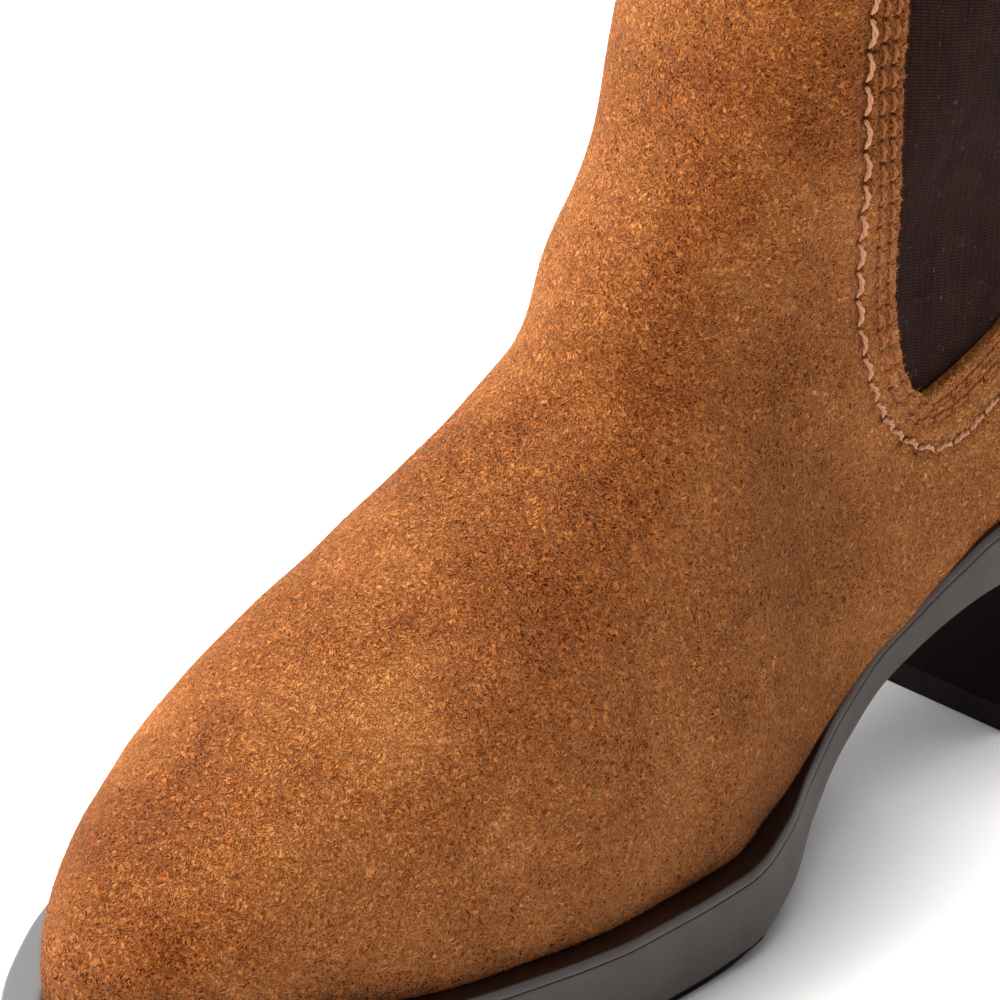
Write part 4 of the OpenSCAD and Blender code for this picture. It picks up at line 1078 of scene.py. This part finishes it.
# Tread: a closed slab whose underside carries bars across the boot and a groove along its edge
S = np.r_[stations(-278.6, -134, 30, 130, 4)]
nu = 61
u = np.linspace(-1, 1, nu)
xl, xm = sole_x(S, 1.3, 1), sole_x(S, 1.3, -1)
X = lerp(xm[:, None], xl[:, None], (u[None] + 1) / 2)
Yg = S[:, None] + 0 * X
th = TREAD_T * (1 - ease(-150, -126, S))[:, None]
edge_mm = np.minimum((1 - np.abs(u))[None] * (xl - xm)[:, None] / 2, np.minimum(Yg + 278.6, -134 - Yg))
wave = (Yg + 2.2 * np.cos(X / 11.0)) % 7.0
bars = ease(0.4, 1.0, wave) * (1 - ease(4.4, 5.0, wave))
inside = ease(5.0, 5.8, edge_mm)
groove = 0.8 * inside * (1 - bars) + 0.8 * np.exp(-(((edge_mm - 4.4) / 0.55) ** 2))
groove *= clip01((th - 0.3) / 0.8)
low = np.stack([X, Yg, UNDER(S)[:, None] + groove], -1)
upz = (UNDER(S)[:, None] + th - 0.05)
upr = np.stack([X, Yg, np.maximum(upz, UNDER(S)[:, None] + 0.02) + 0 * X], -1)
V, F = grid_sheet(upr[:, ::-1], low[:, ::-1])
mesh_object("tread_bars", V, [f[::-1] for f in F], RUBBER, sharp=35, stands_for=("tread",))


# ------------------------------------------------------------------ heel
def breast(z):
    return lerp(-57, -61, z / HEEL_H)


def heel_level(z, s, fit=False):
    a, b = breast(z), -0.15 - s
    t = 1 - (1 - np.linspace(0, 1, 44)) ** 1.9
    y = lerp(a, b, t)
    zz = UNDER(y) - 0.05 if fit else z + 0 * y
    return (np.stack([sole_x(y, s, 1), y, zz], -1), np.stack([sole_x(y, s, -1), y, zz], -1))


lv = [heel_level(TOP_T + 0.1, 3.7), heel_level(TOP_T + 0.4, 3.4)]
for z in (10, 14.2):
    lv.append(heel_level(z, lerp(3.4, 2.6, (z - 6) / 10)))
lv.append(heel_level(16, 2.6))
for z in (20, 23, 26, 29, 32, 34.5):
    lv.append(heel_level(z, np.interp(z, [16, 26, 37], [2.6, 1.8, 1.2])))
lv.append(heel_level(HEEL_H, 1.2, True))
V, F = stack(lv)
mesh_object("heel_stack", V, F, HEEL, sharp=48, stands_for=("heel_block",))
lv = [heel_level(0.0, 4.0), heel_level(0.12, 3.7), heel_level(0.5, 3.45), heel_level(2.8, 3.4), heel_level(5.6, 3.4), heel_level(TOP_T, 3.65)]
V, F = stack(lv)
mesh_object("heel_top_lift", V, F, RUBBER, sharp=48, stands_for=("heel_top_piece",))

# ------------------------------------------------------------------ back strip
STRIP_T = 1.2


def strip_w(z):
    return lerp(8.5, 5.5, ease(48, 150, z))


def back_y(x, z):
    w = side_w(BACK(z), z, np.ones_like(z, bool), SHAFT_W(z))
    a = axis_x(BACK(z), z)
    return BACK(z) - BACK_LEN(z) * (1 - (1 - np.minimum(np.abs(x - a) / w, 0.95) ** 2) ** (1 / 2.15))


def back_frame(x, z):
    x, z = np.broadcast_arrays(np.asarray(x, float), np.asarray(z, float))
    p = np.stack([x, back_y(x, z), z], -1)
    v = np.stack([back_y(x - 0.5, z) - back_y(x + 0.5, z), np.ones_like(x), np.zeros_like(x)], -1)
    return p, v / np.linalg.norm(v, axis=-1, keepdims=True)


zz = np.linspace(float(deck(-2)) + 1.2, COLLAR_H + 4.4, 110)
uu = np.linspace(-1, 1, 29)
Zs, Us = np.meshgrid(zz, uu, indexing="ij")
Xs = Us * strip_w(Zs)
p, v = back_frame(Xs, Zs)
d_e = (1 - np.abs(Us)) * strip_w(Zs)
row_d = np.exp(-(((d_e - 2.2) / 0.9) ** 2))
top_d = np.minimum(zz[-1] - Zs, Zs - zz[0])
hgt = STRIP_T + 0.10 * swell(p * 1.3) - 0.28 * row_d - 0.5 * np.clip(1 - d_e / 1.2, 0, 1) ** 2 - 0.4 * np.clip(1 - top_d / 1.2, 0, 1) ** 2
A = p + v * hgt[..., None]
B = p + v * 0.12
V, F = grid_sheet(A, B)
mesh_object("back_strip_suede", V, [f[::-1] for f in F], SUEDE_STRIP, sharp=55, stands_for=("back_strip",))
parts = []
for sgn in (-1, 1):
    zr = np.linspace(float(deck(-2)) + 5, COLLAR_H - 2, 500)
    xr = sgn * (strip_w(zr) - 2.2)
    q, vv = back_frame(xr, zr)
    q = q + vv * (STRIP_T - 0.10)
    s, h = holes_along(q, 4.6)
    for i in range(len(h) - 1):
        a, b = at_arc(q, s, h[i] + 0.2), at_arc(q, s, h[i + 1] - 0.2)
        parts += stitch(a, b, at_arc(vv, s, h[i]), at_arc(vv, s, h[i + 1]), 0.44, 0.44, 0.12 * sgn, 1.2, 6, 10)
V, F = join(parts)
mesh_object("back_strip_thread", V, F, THREAD_T, stands_for=("back_strip_stitching",))

# ------------------------------------------------------------------ pull tab: one webbing, folded double and sewn in at the back
TAB_Z = COLLAR_H + 6.5
TAB_Y = float(BACK(COLLAR_H + 4)) - SUEDE_T - 0.65


def drop(t):
    a = np.pi * t
    return np.stack([0.5 + 5.2 * np.sin(a) ** 1.2 * (0.35 + 0.65 * t), 0.5 + (TAB_H - 0.5) * (1 - np.cos(a)) / 2], -1)


tt = np.linspace(0, 1, 70)
half = drop(tt) - [0.5, 0.0]                                     # centre line of the rear half, about the hinge
half[:, 0] = np.maximum(half[:, 0], 0.26)
half[-1, 0] = 0.0
half[:, 1] = np.minimum(half[:, 1], TAB_H - 0.5)
tail_z = np.linspace(-19, 0.2, 26)
tail = np.stack([np.full(26, 0.24), tail_z], -1)
rear = np.concatenate([tail, half[1:]])
line = np.concatenate([rear, (rear * [-1, 1])[::-1][1:]])         # (offset towards the heel, height over the hinge)
tg = np.gradient(line, axis=0)
tg /= np.linalg.norm(tg, axis=1, keepdims=True)
nrm = np.stack([tg[:, 1], -tg[:, 0]], -1)
thick = np.where(line[:, 1] < 0.5, 0.44, lerp(0.44, TAB_T * 0.92, ease(0.5, 5, line[:, 1])))
arc = np.r_[0, np.cumsum(np.linalg.norm(np.diff(line, axis=0), axis=1))]
nw = 25
uw = np.linspace(-1, 1, nw)


def tab_surface(sign):
    off = line[:, None] + nrm[:, None] * (sign * thick[:, None, None] / 2) * (1 - 0.55 * np.abs(uw[None, :, None]) ** 10)
    rib = 0.06 * np.sin(2 * np.pi * arc[:, None] / 1.3) * np.ones(nw)[None]
    off = off + nrm[:, None] * (sign * rib[..., None])
    x = uw[None] * (TAB_W / 2 - 0.15 * (1 - np.cos(2 * np.pi * arc[:, None] / 2.6)) / 2) + 0 * off[..., 0]
    z = TAB_Z + off[..., 1]
    bow = back_y(x, np.minimum(z, 186.0)) - back_y(0 * x, np.minimum(z, 186.0))
    lean = BACK(np.minimum(z, COLLAR_H + 4)) - BACK(COLLAR_H + 4)
    y = TAB_Y + off[..., 0] + bow * (1 - ease(182, 192, z)) + lean
    return np.stack([x, y, z], -1)


A, B = tab_surface(1), tab_surface(-1)
V, F = grid_sheet(A, B)
st = np.stack([uw[None] * TAB_W / 2 + 0 * A[..., 0], arc[:, None] + 0 * A[..., 0], 0 * A[..., 0]], -1).reshape(-1, 3)
TAB = mesh_object("pull_tab_webbing", V, F, WEBBING, body=None, sharp=60, attrs={"st": np.concatenate([st, st])})
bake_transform(TAB)
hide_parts("pull_tab", "tab_tail")

# ------------------------------------------------------------------ pieces inside keep their CAD shape
for node, mat in (("bottom_filler", CORK), ("shank", STEEL), ("heel_screw", STEEL), ("heel_nails", STEEL), ("top_piece_pins", STIFFENER),
                  ("insole_board", BOARD), ("footbed_foam", FOAM), ("toe_puff", STIFFENER), ("heel_counter", STIFFENER)):
    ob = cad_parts[node]
    ob.data.materials.clear()
    ob.data.materials.append(mat)

# ------------------------------------------------------------------ floor, lights and camera
def floor_material():
    m = Mat("floor_white")
    n = m.noise(9, 3, 0.5)
    col = m.ramp(n, [(0.3, (0.90, 0.90, 0.895)), (0.7, (0.93, 0.93, 0.925))])
    # painted contact shadow: ambient occlusion near the boot dims the floor's glow and darkens its colour towards grey,
    # so the shadow stays soft and deep
    near = m.n("AmbientOcclusion")
    near.samples = 12
    near.inputs["Distance"].default_value = 0.036
    painted_shadow_ao = near.outputs["AO"]
    m.b.inputs["Emission Color"].default_value = (1, 1, 1, 1)
    m.put(m.b.inputs["Emission Strength"], m.math("MULTIPLY", m.math("POWER", painted_shadow_ao, 2.4), 0.50))
    return m.set(color=m.mix(m.math("POWER", painted_shadow_ao, 1.2), (0.30, 0.295, 0.29), col), rough=0.9, spec=0.1)


me = bpy.data.meshes.new("floor")
R = [(-3.0, -3.0), (3.0, -3.0), (3.0, 3.0), (-3.0, 3.0)]
me.from_pydata([(x, y, -0.0002) for x, y in R], [], [(0, 1, 2, 3)])
me.materials.append(floor_material())
FLOOR = bpy.data.objects.new("floor", me)
bpy.context.scene.collection.objects.link(FLOOR)

world = bpy.data.worlds.new("studio")
bpy.context.scene.world = world
world.use_nodes = True
world.node_tree.nodes["Background"].inputs[0].default_value = (1.0, 1.0, 1.0, 1)
world.node_tree.nodes["Background"].inputs[1].default_value = 0.37

AZ, EL, ROLL, FOCAL, DIST = math.radians(45.87), math.radians(28.31), math.radians(-1.842), 6007.5, 1085.3
TGT = place([-5.6, -158.0, 79.4])
back = np.array([math.sin(AZ) * math.cos(EL), -math.cos(AZ) * math.cos(EL), math.sin(EL)])
right = np.array([math.cos(AZ), math.sin(AZ), 0.0])
up = np.cross(back, right)
r2 = right * math.cos(ROLL) + up * math.sin(ROLL)
u2 = -right * math.sin(ROLL) + up * math.cos(ROLL)
cam_data = bpy.data.cameras.new("camera")
cam_data.sensor_fit = "HORIZONTAL"
cam_data.sensor_width = 36.0
cam_data.lens = FOCAL / 1000.0 * 36.0
cam_data.clip_start, cam_data.clip_end = 0.05, 20.0
cam = bpy.data.objects.new("camera", cam_data)
bpy.context.scene.collection.objects.link(cam)
pos = TGT + back * DIST / 1000.0
M = Matrix.Identity(4)
for i in range(3):
    M[i][0], M[i][1], M[i][2], M[i][3] = r2[i], u2[i], back[i], pos[i]
cam.matrix_world = M
bpy.context.scene.camera = cam


def softbox(name, direction, dist, size, power, colour=(1, 1, 1), target=(0.0, -0.03, 0.07)):
    d = np.array(direction, float)
    d /= np.linalg.norm(d)
    L = bpy.data.lights.new(name, "AREA")
    L.shape = "RECTANGLE"
    L.size, L.size_y = size
    L.energy = power
    L.color = colour
    ob = bpy.data.objects.new(name, L)
    bpy.context.scene.collection.objects.link(ob)
    ob.location = Vector(target) + Vector(d * dist)
    ob.rotation_euler = Vector(-d).to_track_quat("-Z", "Y").to_euler()
    return ob


hr = right                        # towards the picture's right, level
hb = np.array([-math.sin(AZ), math.cos(AZ), 0.0])      # away from the camera, level
upv = np.array([0, 0, 1.0])
softbox("key", -0.85 * hr + 0.15 * hb + 0.95 * upv, 1.3, (0.8, 0.8), 24)
softbox("side", -1.0 * hr + 0.30 * hb + 0.42 * upv, 1.2, (0.7, 1.0), 11.5)
softbox("top", 0.0 * hr + 0.25 * hb + 1.0 * upv, 1.4, (1.3, 1.3), 10)
softbox("backdrop", 0.0 * hr + 1.0 * hb + 0.50 * upv, 1.5, (2.4, 1.0), 26)
softbox("fill", 0.75 * hr - 0.9 * hb + 0.55 * upv, 1.8, (1.0, 1.0), 0.8)

sc = bpy.context.scene
sc.view_settings.view_transform = "Standard"
sc.view_settings.look = "None"
sc.view_settings.exposure = 0.0
sc.view_settings.gamma = 1.0
